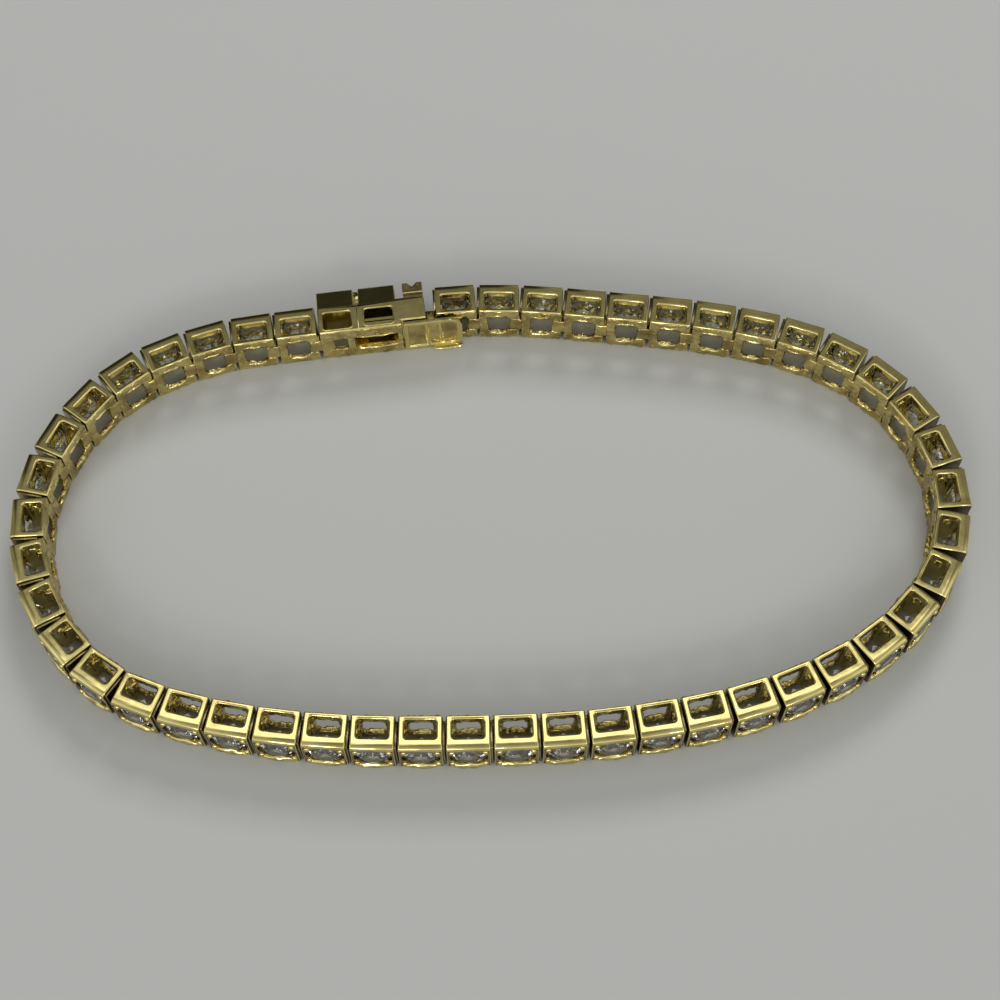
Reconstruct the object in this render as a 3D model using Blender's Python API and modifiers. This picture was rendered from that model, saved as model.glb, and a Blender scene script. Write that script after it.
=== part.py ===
"""Box-link tennis bracelet lying on its edge: forty-seven hinged links and a box clasp.

Metres, +Z up. The bracelet's width stands along Z, the wrist goes through along Z.
Every link is the same solid. Its own frame has the hinge axis of its start end at the
origin, +X towards the next link, +Y out of the loop (the stone side) and Z from the
resting face up. The clasp is drawn in the same kind of frame.
"""
import math

import bmesh
import bpy
from mathutils import Matrix, Vector

MM = 0.001

# Link body
LINK_LENGTH = 3.38 * MM
LINK_DEPTH = 2.80 * MM
BRACELET_WIDTH = 4.25 * MM
END_WALL = 0.46 * MM
BACK_WALL = 0.37 * MM
FRONT_RIM = 0.82 * MM
FACET_WIDTH = 0.75 * MM
FACET_DROP = 0.16 * MM
BACK_OPENING_LENGTH = 1.85 * MM
BACK_OPENING_WIDTH = 2.60 * MM

# Hinge between two links
PIN_INSET = 0.30 * MM
PIN_SETBACK = 0.50 * MM
PIN_RADIUS = 0.15 * MM
PIN_SIDES = 5
LINK_GAP = 0.22 * MM
EYE_RADIUS = 0.42 * MM
EYE_BORE_RADIUS = 0.28 * MM
EYE_WIDTH = 1.60 * MM
OCTAGON_CORNER = 2 - math.sqrt(2)
HINGE_CLEARANCE = 0.10 * MM
FUSE = 0.05 * MM
MERGE_DISTANCE = 0.001 * MM
FLAT_ANGLE = math.radians(0.1)
SHARP_ANGLE = math.radians(30.0)
OVERCUT = 2.00 * MM

# Round stone and its four beads
STONE_DIAMETER = 2.90 * MM
STONE_SIDES = 10
TABLE_SHARE = 0.56
CROWN_ANGLE = math.radians(34.0)
PAVILION_ANGLE = math.radians(41.0)
GIRDLE_THICKNESS = 0.10 * MM
GIRDLE_DEPTH = 0.42 * MM
SEAT_CLEARANCE = 0.04 * MM
SEAT_DEPTH = 0.30 * MM
BEAD_RADIUS = 0.32 * MM
BEAD_RISE = 0.24 * MM
BEAD_SIDES = 4
BEAD_GAP = 0.03 * MM

# Clasp box: two stone-set sections, then a bare one that the tongue enters
CLASP_OFFSET = 0.67 * MM
SECTION_LENGTH = 3.15 * MM
SECTION_GAP = 0.36 * MM
SECTION_GAP_DEPTH = 1.85 * MM
SECTION_DEPTH = 4.25 * MM
SECTION_FACET_WIDTH = 1.80 * MM
SECTION_FACET_DROP = 0.38 * MM
BARE_LENGTH = 2.35 * MM
BARE_DEPTH = 2.70 * MM
BOX_WALL = 0.38 * MM
BOX_FLOOR = 0.50 * MM
CAVITY_DEPTH = 1.58 * MM
CLASP_WINDOW_LENGTH = 2.35 * MM
PEEP_LENGTH = 1.20 * MM
PEEP_WIDTH = 1.80 * MM
PEEP_START = 1.10 * MM
PEEP_BRIDGE = 0.56 * MM
SLOT_WIDTH = 1.70 * MM

# Clasp tongue: back plate, folded spring, thumb tab and the lugs of the last hinge
PLATE_LENGTH = 4.90 * MM
PLATE_OVERHANG = 2.95 * MM
PLATE_THICKNESS = 0.35 * MM
PLATE_MARGIN = 0.10 * MM
PLATE_CORNER = 1.10 * MM
PLATE_CORNER_STEPS = 4
LEAF_THICKNESS = 0.25 * MM
LEAF_LENGTH = 5.90 * MM
LEAF_SPACING = 0.62 * MM
ROOT_THICKNESS = 0.50 * MM
TAB_LENGTH = 1.70 * MM
TAB_WIDTH = 1.60 * MM
TAB_REACH = 1.75 * MM
NOTCH_DEPTH = 0.40 * MM
SLIDE_CLEARANCE = 0.12 * MM
LUG_THICKNESS = 0.50 * MM
LUG_LENGTH = 0.70 * MM
LAST_PIN_GAP = 0.35 * MM

# The loop, in millimetres from its middle, clockwise seen from above. The route starts
# at the hinge behind the clasp and ends at the hinge before it.
LINK_COUNT = 47
ROUTE_MM = [
    (-4.8, 17.8), (2.3, 17.9), (9.4, 17.1), (18.4, 15.8), (25.4, 13.9), (30.1, 11.3),
    (33.7, 7.4), (35.7, 2.4), (35.6, -2.9), (33.4, -7.7), (28.1, -12.5), (19.7, -16.1),
    (9.2, -17.9), (-1.6, -18.3), (-12.5, -17.9), (-21.3, -16.5), (-28.0, -14.2),
    (-32.2, -10.8), (-35.0, -6.0), (-36.0, -0.6), (-35.1, 4.5), (-32.5, 9.0),
    (-28.6, 12.5), (-21.9, 15.1), (-14.6, 16.1),
]
STEPS_PER_SPAN = 60

# Places that follow from the sizes above
HINGE_REACH = LINK_GAP + PIN_INSET
PITCH = HINGE_REACH + LINK_LENGTH - PIN_INSET
LINK_START = HINGE_REACH
LINK_END = HINGE_REACH + LINK_LENGTH
BACK = -PIN_SETBACK
FRONT = BACK + LINK_DEPTH
MIDDLE = BRACELET_WIDTH / 2
STONE_RADIUS = STONE_DIAMETER / 2
SECTION_END = LINK_START + 2 * SECTION_LENGTH + SECTION_GAP
SECTION_FRONT = BACK + SECTION_DEPTH
BOX_END = SECTION_END + BARE_LENGTH
LAST_PIN = BOX_END + LAST_PIN_GAP
CLASP_REACH = math.hypot(LAST_PIN, CLASP_OFFSET)
CAVITY_BACK = BACK + BOX_WALL
CAVITY_FRONT = CAVITY_BACK + CAVITY_DEPTH
PLATE_START = BOX_END - (PLATE_LENGTH - PLATE_OVERHANG)
PLATE_END = PLATE_START + PLATE_LENGTH
PLATE_FRONT = BACK + PLATE_THICKNESS


def clear_scene():
    """Remove whatever the file opened with."""
    for old in list(bpy.data.objects):
        bpy.data.objects.remove(old, do_unlink=True)


def new_collection(name):
    """Make a collection and link it to the scene."""
    made = bpy.data.collections.new(name)
    bpy.context.scene.collection.children.link(made)
    return made


def new_material(name, colour, roughness, metallic):
    """Make a Principled material of one colour."""
    made = bpy.data.materials.new(name)
    made.use_nodes = True
    shader = made.node_tree.nodes["Principled BSDF"]
    shader.inputs["Base Color"].default_value = (*colour, 1.0)
    shader.inputs["Roughness"].default_value = roughness
    shader.inputs["Metallic"].default_value = metallic
    return made


clear_scene()
PARTS = new_collection("tennis_bracelet")
CUTTERS = new_collection("cutters")
GOLD = new_material("polished_gold", (0.72, 0.58, 0.22), 0.16, 1.0)
STONE = new_material("clear_stone", (0.88, 0.90, 0.93), 0.05, 0.0)


def add_guide(name, mesh, material):
    """Put a mesh among the cutters as a wire guide that the build leaves out."""
    made = bpy.data.objects.new(name, mesh)
    mesh.materials.append(material)
    CUTTERS.objects.link(made)
    made.hide_render = True
    made.display_type = "WIRE"
    return made


def block(name, low, high, material=GOLD):
    """A box between two corners."""
    shape = bmesh.new()
    bmesh.ops.create_cube(shape, size=1.0)
    low, high = Vector(low), Vector(high)
    bmesh.ops.scale(shape, vec=high - low, verts=shape.verts)
    bmesh.ops.translate(shape, vec=(low + high) / 2, verts=shape.verts)
    mesh = bpy.data.meshes.new(name)
    shape.to_mesh(mesh)
    shape.free()
    return add_guide(name, mesh, material)


def post(name, centre, axis, sides, radius, top_radius, length, material=GOLD):
    """A prism or tapered prism about its centre, along +Z or +Y, with flats facing +X and -X."""
    shape = bmesh.new()
    bmesh.ops.create_cone(
        shape, cap_ends=True, segments=sides, radius1=radius, radius2=top_radius, depth=length)
    half_side = Matrix.Rotation(math.pi / sides - math.pi / 2, 4, "Z")
    turn = Matrix.Rotation(math.radians(-90.0 if axis == "Y" else 0.0), 4, "X")
    bmesh.ops.transform(shape, matrix=Matrix.Translation(centre) @ turn @ half_side, verts=shape.verts)
    mesh = bpy.data.meshes.new(name)
    shape.to_mesh(mesh)
    shape.free()
    return add_guide(name, mesh, material)


def join_or_cut(target, tool, operation):
    """Add one exact Boolean to the target."""
    step = target.modifiers.new(f"{operation.lower()}_{tool.name}", "BOOLEAN")
    step.operation = operation
    step.solver = "EXACT"
    step.material_mode = "TRANSFER"
    step.object = tool


def cut(target, *tools):
    """Take each tool away from the target."""
    for tool in tools:
        join_or_cut(target, tool, "DIFFERENCE")


def fuse(target, *tools):
    """Add each tool to the target."""
    for tool in tools:
        join_or_cut(target, tool, "UNION")


def faceted_body(name, low, high, facet_width, facet_drop):
    """A box whose outer rim slopes down to the front on the top and the bottom."""
    shape = bmesh.new()
    bmesh.ops.create_cube(shape, size=1.0)
    low, high = Vector(low), Vector((high[0], high[1] - facet_width, high[2]))
    bmesh.ops.scale(shape, vec=high - low, verts=shape.verts)
    bmesh.ops.translate(shape, vec=(low + high) / 2, verts=shape.verts)
    shape.faces.ensure_lookup_table()
    front = [face for face in shape.faces if face.normal.y > 0.5]
    grown = bmesh.ops.extrude_face_region(shape, geom=front)
    bmesh.ops.delete(shape, geom=front, context="FACES_ONLY")
    rim = [part for part in grown["geom"] if isinstance(part, bmesh.types.BMVert)]
    bmesh.ops.translate(shape, vec=(0.0, facet_width, 0.0), verts=rim)
    height = high.z - low.z
    squeeze = Matrix.Scale((height - 2 * facet_drop) / height, 4, (0.0, 0.0, 1.0))
    middle = Matrix.Translation((0.0, 0.0, (low.z + high.z) / 2))
    bmesh.ops.transform(shape, matrix=middle @ squeeze @ middle.inverted(), verts=rim)
    bmesh.ops.recalc_face_normals(shape, faces=shape.faces)
    mesh = bpy.data.meshes.new(name)
    shape.to_mesh(mesh)
    shape.free()
    return add_guide(name, mesh, GOLD)


def cut_stone(name, middle_x, front):
    """A brilliant turned from its half outline, table towards +Y."""
    table_radius = STONE_RADIUS * TABLE_SHARE
    crown = (STONE_RADIUS - table_radius) * math.tan(CROWN_ANGLE)
    pavilion = STONE_RADIUS * math.tan(PAVILION_ANGLE)
    outline = [
        (0.0, crown + GIRDLE_THICKNESS / 2),
        (table_radius, crown + GIRDLE_THICKNESS / 2),
        (STONE_RADIUS, GIRDLE_THICKNESS / 2),
        (STONE_RADIUS, -GIRDLE_THICKNESS / 2),
        (0.0, -GIRDLE_THICKNESS / 2 - pavilion),
    ]
    half_side = math.pi / STONE_SIDES
    profile = bpy.data.meshes.new(name)
    corners = [(x * math.cos(half_side), x * math.sin(half_side), z) for x, z in outline]
    profile.from_pydata(corners, [(i, i + 1) for i in range(len(corners) - 1)], [])
    made = add_guide(name, profile, STONE)
    turned = made.modifiers.new("turned", "SCREW")
    turned.axis = "Z"
    turned.steps = STONE_SIDES
    turned.render_steps = STONE_SIDES
    turned.use_merge_vertices = True
    turned.merge_threshold = 0.00001
    made.rotation_euler = (math.radians(-90.0), 0.0, 0.0)
    made.location = (middle_x, front - GIRDLE_DEPTH, MIDDLE)
    return made


def set_stone(target, name, middle_x, front):
    """Sink a seat into a front face, fuse the stone in it and four beads over its edge."""
    seat_radius = STONE_RADIUS + SEAT_CLEARANCE
    seat = post(
        f"{name}_seat", (middle_x, front, MIDDLE), "Y", STONE_SIDES, seat_radius, seat_radius,
        2 * SEAT_DEPTH)
    cut(target, seat)
    fuse(target, cut_stone(f"{name}_stone", middle_x, front))
    spread = (seat_radius + BEAD_GAP + BEAD_RADIUS) * math.sqrt(0.5)
    for number, (side_x, side_z) in enumerate(((1, 1), (1, -1), (-1, 1), (-1, -1)), start=1):
        centre = (
            middle_x + side_x * spread, front + (BEAD_RISE - FUSE) / 2, MIDDLE + side_z * spread)
        bead = post(
            f"{name}_bead_{number}", centre, "Y", BEAD_SIDES,
            BEAD_RADIUS * (1 + FUSE / BEAD_RISE), 0.0, BEAD_RISE + FUSE)
        fuse(target, bead)


def hinge_eye(name):
    """The bored lug that a link or the clasp holds out over the pin before it."""
    low, high = MIDDLE - EYE_WIDTH / 2, MIDDLE + EYE_WIDTH / 2
    lug = block(
        f"{name}_eye", (-EYE_RADIUS, -EYE_RADIUS, low), (LINK_START + FUSE, EYE_RADIUS, high))
    shape = bmesh.new()
    shape.from_mesh(lug.data)
    tip_edges = [edge for edge in shape.edges if all(vert.co.x < 0.0 for vert in edge.verts)
                 and abs(edge.verts[0].co.z - edge.verts[1].co.z) > FUSE]
    bmesh.ops.bevel(
        shape, geom=tip_edges, offset=EYE_RADIUS * OCTAGON_CORNER, offset_type="OFFSET",
        segments=1, affect="EDGES")
    shape.to_mesh(lug.data)
    shape.free()
    bore = post(
        f"{name}_bore", (0.0, 0.0, MIDDLE), "Z", PIN_SIDES, EYE_BORE_RADIUS, EYE_BORE_RADIUS,
        EYE_WIDTH + 2 * OVERCUT)
    cut(lug, bore)
    return lug


def hinge_pin(name, x, y):
    """A pin along Z that spans the notch and is held by the metal above and below it."""
    return post(
        f"{name}_pin", (x, y, MIDDLE), "Z", PIN_SIDES, PIN_RADIUS, PIN_RADIUS,
        EYE_WIDTH + 2 * HINGE_CLEARANCE + 2 * FUSE)


def baked(master, name):
    """The master's finished mesh, with doubled points merged and flat faces made whole."""
    graph = bpy.context.evaluated_depsgraph_get()
    graph.update()
    mesh = bpy.data.meshes.new_from_object(master.evaluated_get(graph))
    mesh.name = name
    shape = bmesh.new()
    shape.from_mesh(mesh)
    bmesh.ops.remove_doubles(shape, verts=shape.verts, dist=MERGE_DISTANCE)
    bmesh.ops.dissolve_degenerate(shape, edges=shape.edges, dist=MERGE_DISTANCE)
    bmesh.ops.dissolve_limit(
        shape, angle_limit=FLAT_ANGLE, verts=shape.verts, edges=shape.edges)
    shape.to_mesh(mesh)
    shape.free()
    mesh.shade_smooth()
    mesh.set_sharp_from_angle(angle=SHARP_ANGLE)
    return mesh


def link_mesh():
    """One link: an open box frame with its stone, the eye at its start, the pin at its end."""
    body = faceted_body(
        "link_body", (LINK_START, BACK, 0.0), (LINK_END, FRONT, BRACELET_WIDTH),
        FACET_WIDTH, FACET_DROP)
    middle_x = (LINK_START + LINK_END) / 2
    window = block(
        "link_window", (LINK_START + END_WALL, BACK + BACK_WALL, -OVERCUT),
        (LINK_END - END_WALL, FRONT - FRONT_RIM, BRACELET_WIDTH + OVERCUT))
    opening = block(
        "link_opening",
        (middle_x - BACK_OPENING_LENGTH / 2, BACK - OVERCUT, MIDDLE - BACK_OPENING_WIDTH / 2),
        (middle_x + BACK_OPENING_LENGTH / 2, BACK + 2 * BACK_WALL, MIDDLE + BACK_OPENING_WIDTH / 2))
    notch_half = EYE_WIDTH / 2 + HINGE_CLEARANCE
    eye_room = EYE_RADIUS + HINGE_CLEARANCE
    notch = block(
        "link_notch", (PITCH - eye_room, BACK - OVERCUT, MIDDLE - notch_half),
        (LINK_END + OVERCUT, eye_room, MIDDLE + notch_half))
    cut(body, window, opening, notch)
    set_stone(body, "link", middle_x, FRONT)
    fuse(body, hinge_pin("link", PITCH, 0.0), hinge_eye("link"))
    return baked(body, "link")


def clasp_box_mesh():
    """The clasp's box: two stone-set sections and a bare mouth for the tongue."""
    body = faceted_body(
        "clasp_body", (LINK_START, BACK, 0.0), (SECTION_END, SECTION_FRONT, BRACELET_WIDTH),
        SECTION_FACET_WIDTH, SECTION_FACET_DROP)
    bare = block(
        "clasp_bare", (SECTION_END - FUSE, BACK, 0.0), (BOX_END, BACK + BARE_DEPTH, BRACELET_WIDTH))
    fuse(body, bare)
    gap_start = LINK_START + SECTION_LENGTH
    between = block(
        "clasp_gap", (gap_start, SECTION_FRONT - SECTION_GAP_DEPTH, -OVERCUT),
        (gap_start + SECTION_GAP, SECTION_FRONT + OVERCUT, BRACELET_WIDTH + OVERCUT))
    cavity = block(
        "clasp_cavity", (LINK_START + BOX_WALL, CAVITY_BACK, BOX_FLOOR),
        (BOX_END + OVERCUT, CAVITY_FRONT, BRACELET_WIDTH - BOX_FLOOR))
    cut(body, between, cavity)
    for number in (1, 2):
        section_start = LINK_START + (number - 1) * (SECTION_LENGTH + SECTION_GAP)
        section_middle = section_start + SECTION_LENGTH / 2
        window = block(
            f"clasp_window_{number}",
            (section_middle - CLASP_WINDOW_LENGTH / 2, CAVITY_BACK, -OVERCUT),
            (section_middle + CLASP_WINDOW_LENGTH / 2, CAVITY_FRONT, BRACELET_WIDTH + OVERCUT))
        cut(body, window)
        set_stone(body, f"clasp_{number}", section_middle, SECTION_FRONT)
    peep_start = LINK_START + PEEP_START
    peep = block(
        "clasp_peep", (peep_start, BACK - OVERCUT, MIDDLE - PEEP_WIDTH / 2),
        (peep_start + PEEP_LENGTH, BACK + 2 * BOX_WALL, MIDDLE + PEEP_WIDTH / 2))
    seat_start = PLATE_START - SLIDE_CLEARANCE
    slot_end = seat_start - BOX_WALL
    slot = block(
        "clasp_slot",
        (peep_start + PEEP_LENGTH + PEEP_BRIDGE, BACK - OVERCUT, MIDDLE - SLOT_WIDTH / 2),
        (slot_end, BACK + 2 * BOX_WALL, MIDDLE + SLOT_WIDTH / 2))
    seat = block(
        "clasp_plate_seat", (seat_start, BACK - OVERCUT, -OVERCUT),
        (BOX_END + OVERCUT, PLATE_FRONT + SLIDE_CLEARANCE, BRACELET_WIDTH + OVERCUT))
    tab_half = TAB_WIDTH / 2 + SLIDE_CLEARANCE
    tab_slot = block(
        "clasp_tab_slot", (BOX_END - TAB_LENGTH - SLIDE_CLEARANCE, CAVITY_FRONT - FUSE,
                           MIDDLE - tab_half),
        (BOX_END + OVERCUT, SECTION_FRONT + OVERCUT, MIDDLE + tab_half))
    cut(body, peep, slot, seat, tab_slot)
    fuse(body, hinge_eye("clasp"))
    return baked(body, "clasp_box")


def tongue_plate():
    """The tongue's back plate, with its far corners rounded."""
    plate = block(
        "tongue_plate", (PLATE_START, BACK, PLATE_MARGIN),
        (PLATE_END, PLATE_FRONT, BRACELET_WIDTH - PLATE_MARGIN))
    shape = bmesh.new()
    shape.from_mesh(plate.data)
    corners = [
        edge for edge in shape.edges
        if all(vert.co.x > PLATE_END - FUSE for vert in edge.verts)
        and abs(edge.verts[0].co.z - edge.verts[1].co.z) < FUSE
    ]
    bmesh.ops.bevel(
        shape, geom=corners, offset=PLATE_CORNER, offset_type="OFFSET",
        segments=PLATE_CORNER_STEPS, profile=0.5, affect="EDGES")
    shape.to_mesh(plate.data)
    shape.free()
    return plate


def clasp_tongue_mesh():
    """The sprung tongue: back plate, two leaves, thumb tab, and lugs with the last pin."""
    plate = tongue_plate()
    leaf_low = BOX_FLOOR + SLIDE_CLEARANCE
    leaf_high = BRACELET_WIDTH - leaf_low
    leaf_end = BOX_END - SLIDE_CLEARANCE
    leaf_tip = leaf_end - LEAF_LENGTH
    first = CAVITY_BACK + LEAF_SPACING
    second = first + LEAF_SPACING
    root = block(
        "tongue_root", (leaf_end - ROOT_THICKNESS, PLATE_FRONT - FUSE, leaf_low),
        (leaf_end, first + FUSE, leaf_high))
    lower = block(
        "tongue_leaf_1", (leaf_tip, first, leaf_low), (leaf_end, first + LEAF_THICKNESS, leaf_high))
    upper = block(
        "tongue_leaf_2", (leaf_tip, second, leaf_low),
        (leaf_end, second + LEAF_THICKNESS, leaf_high))
    fold = block(
        "tongue_fold", (leaf_tip, first + FUSE, leaf_low),
        (leaf_tip + LEAF_THICKNESS, second + FUSE, leaf_high))
    tab_front = BACK + BARE_DEPTH + TAB_REACH
    tab = block(
        "tongue_tab", (BOX_END - TAB_LENGTH, second + FUSE, MIDDLE - TAB_WIDTH / 2),
        (BOX_END, tab_front, MIDDLE + TAB_WIDTH / 2))
    notch = post(
        "tongue_notch", (0.0, 0.0, MIDDLE), "Z", 4, NOTCH_DEPTH, NOTCH_DEPTH,
        TAB_WIDTH + 2 * OVERCUT)
    notch.location = (BOX_END - TAB_LENGTH / 2, tab_front, 0.0)
    notch.rotation_euler = (0.0, 0.0, math.radians(45.0))
    cut(tab, notch)
    fuse(plate, root, lower, upper, fold, tab)
    eye_half = EYE_WIDTH / 2 + HINGE_CLEARANCE
    for number, low in enumerate((MIDDLE - eye_half - LUG_THICKNESS, MIDDLE + eye_half), start=1):
        lug = block(
            f"tongue_lug_{number}", (LAST_PIN - LUG_LENGTH / 2, PLATE_FRONT - FUSE, low),
            (LAST_PIN + LUG_LENGTH / 2, CLASP_OFFSET + LUG_LENGTH / 2, low + LUG_THICKNESS))
        fuse(plate, lug)
    fuse(plate, hinge_pin("tongue", LAST_PIN, CLASP_OFFSET))
    return baked(plate, "clasp_tongue")


def route_curve():
    """A smooth open curve through the route's points, as a fine polyline."""
    points = [Vector((x * MM, y * MM)) for x, y in ROUTE_MM]
    count = len(points)
    fine = []
    for span in range(count):
        before, here, there, after = (points[(span + k) % count] for k in (-1, 0, 1, 2))
        for step in range(STEPS_PER_SPAN):
            t = step / STEPS_PER_SPAN
            fine.append(0.5 * (
                2 * here + (there - before) * t
                + (2 * before - 5 * here + 4 * there - after) * t * t
                + (3 * here - before - 3 * there + after) * t * t * t))
    return fine


def next_on_curve(curve, centre, start, reach):
    """The point at a given distance from centre, and the index after it, going on from start."""
    count = len(curve)
    index = start
    while (curve[(index + 1) % count] - centre).length < reach:
        index += 1
    inner, outer = curve[index % count], curve[(index + 1) % count]
    low, high = 0.0, 1.0
    for _ in range(40):
        share = (low + high) / 2
        if (inner.lerp(outer, share) - centre).length < reach:
            low = share
        else:
            high = share
    return inner.lerp(outer, low), index


def walk(curve, scale):
    """Hinge points of all links on the scaled curve, and how far the walk overshoots."""
    scaled = [point * scale for point in curve]
    hinges = [scaled[0]]
    index = 0
    for _ in range(LINK_COUNT):
        place, index = next_on_curve(scaled, hinges[-1], index, PITCH)
        hinges.append(place)
    closed, index = next_on_curve(scaled, hinges[-1], index, CLASP_REACH)
    overshoot = index - len(scaled) + (closed - scaled[index % len(scaled)]).length / PITCH
    return hinges, overshoot


def hinge_points():
    """Scale the loop until the links and the clasp close it exactly."""
    curve = route_curve()
    low, high = 0.8, 1.3
    for _ in range(50):
        scale = (low + high) / 2
        if walk(curve, scale)[1] > 0.0:
            low = scale
        else:
            high = scale
    return walk(curve, scale)[0]


def place(name, mesh, start, heading, parent):
    """Put a copy of a mesh with its start hinge at a point, facing along a heading."""
    made = bpy.data.objects.new(name, mesh)
    PARTS.objects.link(made)
    made.parent = parent
    made.location = (start.x, start.y, 0.0)
    made.rotation_euler = (0.0, 0.0, heading)
    return made


def heading_of(start, end):
    """The angle of the way from start to end."""
    way = end - start
    return math.atan2(way.y, way.x)


def centre_on_origin(root, pieces):
    """Move the loop so that the middle of its outline lies over the origin."""
    bpy.context.view_layer.update()
    corners = [piece.matrix_world @ vert.co for piece in pieces for vert in piece.data.vertices]
    xs = [corner.x for corner in corners]
    ys = [corner.y for corner in corners]
    root.location = (-(min(xs) + max(xs)) / 2, -(min(ys) + max(ys)) / 2, 0.0)


def build():
    """Lay the links along the loop and close it with the clasp."""
    root = bpy.data.objects.new("bracelet_middle", None)
    PARTS.objects.link(root)
    hinges = hinge_points()
    link = link_mesh()
    pieces = []
    for number in range(LINK_COUNT):
        start, end = hinges[number], hinges[number + 1]
        pieces.append(place(f"link_{number + 1:02d}", link, start, heading_of(start, end), root))
    clasp_start = hinges[-1]
    heading = heading_of(clasp_start, hinges[0]) - math.asin(CLASP_OFFSET / CLASP_REACH)
    pieces.append(place("clasp_box", clasp_box_mesh(), clasp_start, heading, root))
    pieces.append(place("clasp_tongue", clasp_tongue_mesh(), clasp_start, heading, root))
    centre_on_origin(root, pieces)


build()
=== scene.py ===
"""Looks of the tennis bracelet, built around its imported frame.

Every length is in metres. A link and the clasp are each modelled once in a frame of their
own: the start hinge's axis at the origin, +X towards the next link, +Y out of the loop (the
stone side) and Z from the resting face up. Copies then go where the frame's nodes are.
"""
import logging
import math
import random
from collections.abc import Callable, Iterator
from contextlib import contextmanager
from dataclasses import dataclass, field
from enum import Enum

import bmesh
import bpy
from mathutils import Matrix, Vector


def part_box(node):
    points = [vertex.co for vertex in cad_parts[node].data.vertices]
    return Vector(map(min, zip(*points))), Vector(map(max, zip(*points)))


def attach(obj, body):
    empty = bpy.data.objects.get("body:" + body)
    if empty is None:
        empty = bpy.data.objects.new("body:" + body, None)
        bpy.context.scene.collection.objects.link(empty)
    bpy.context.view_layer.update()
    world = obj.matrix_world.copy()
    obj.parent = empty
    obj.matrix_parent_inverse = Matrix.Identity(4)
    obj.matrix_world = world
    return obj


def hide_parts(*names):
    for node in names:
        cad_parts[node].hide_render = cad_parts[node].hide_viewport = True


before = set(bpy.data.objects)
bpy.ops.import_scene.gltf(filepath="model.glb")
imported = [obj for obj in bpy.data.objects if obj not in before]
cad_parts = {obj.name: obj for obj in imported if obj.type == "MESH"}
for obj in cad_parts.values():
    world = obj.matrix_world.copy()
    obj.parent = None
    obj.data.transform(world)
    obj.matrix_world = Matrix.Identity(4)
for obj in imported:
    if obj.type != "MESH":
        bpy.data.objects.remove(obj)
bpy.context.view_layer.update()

MM = 0.001
BODY = "root"
CAST_GROUP = "cast"
ALIGNED = 0.99
DOUBLED = 0.001 * MM
FLAT = math.radians(0.2)
LOG = logging.getLogger("bracelet")
Solid = bpy.types.Object
Material = bpy.types.Material
Edge = bmesh.types.BMEdge
Colour = tuple[float, float, float]
Point = tuple[float, float, float]
Span = tuple[float, float]


class Axis(Enum):
    """The way a turned piece stands."""

    X = (0.0, math.radians(90.0), 0.0)
    Y = (math.radians(-90.0), 0.0, 0.0)
    Z = (0.0, 0.0, 0.0)


class Cut(Enum):
    """Whether a tool takes its shape away from a piece or joins it on."""

    TAKE = "DIFFERENCE"
    JOIN = "UNION"


class Wire:
    """A socket of a material's graph that Python's operators work on."""

    def __init__(self, graph: "Graph", socket: bpy.types.NodeSocket) -> None:
        """Hold an output socket of a graph."""
        self.graph = graph
        self.socket = socket

    def __add__(self, other: "Wire | float") -> "Wire":
        """Self plus other."""
        return self.graph.maths("ADD", self, other)

    def __radd__(self, other: "Wire | float") -> "Wire":
        """Other plus self."""
        return self.graph.maths("ADD", other, self)

    def __mul__(self, other: "Wire | float") -> "Wire":
        """Self times other."""
        return self.graph.maths("MULTIPLY", self, other)

    def __rmul__(self, other: "Wire | float") -> "Wire":
        """Other times self."""
        return self.graph.maths("MULTIPLY", other, self)

    def __truediv__(self, other: "Wire | float") -> "Wire":
        """Self over other."""
        return self.graph.maths("DIVIDE", self, other)

    def __rtruediv__(self, other: "Wire | float") -> "Wire":
        """Other over self."""
        return self.graph.maths("DIVIDE", other, self)


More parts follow.
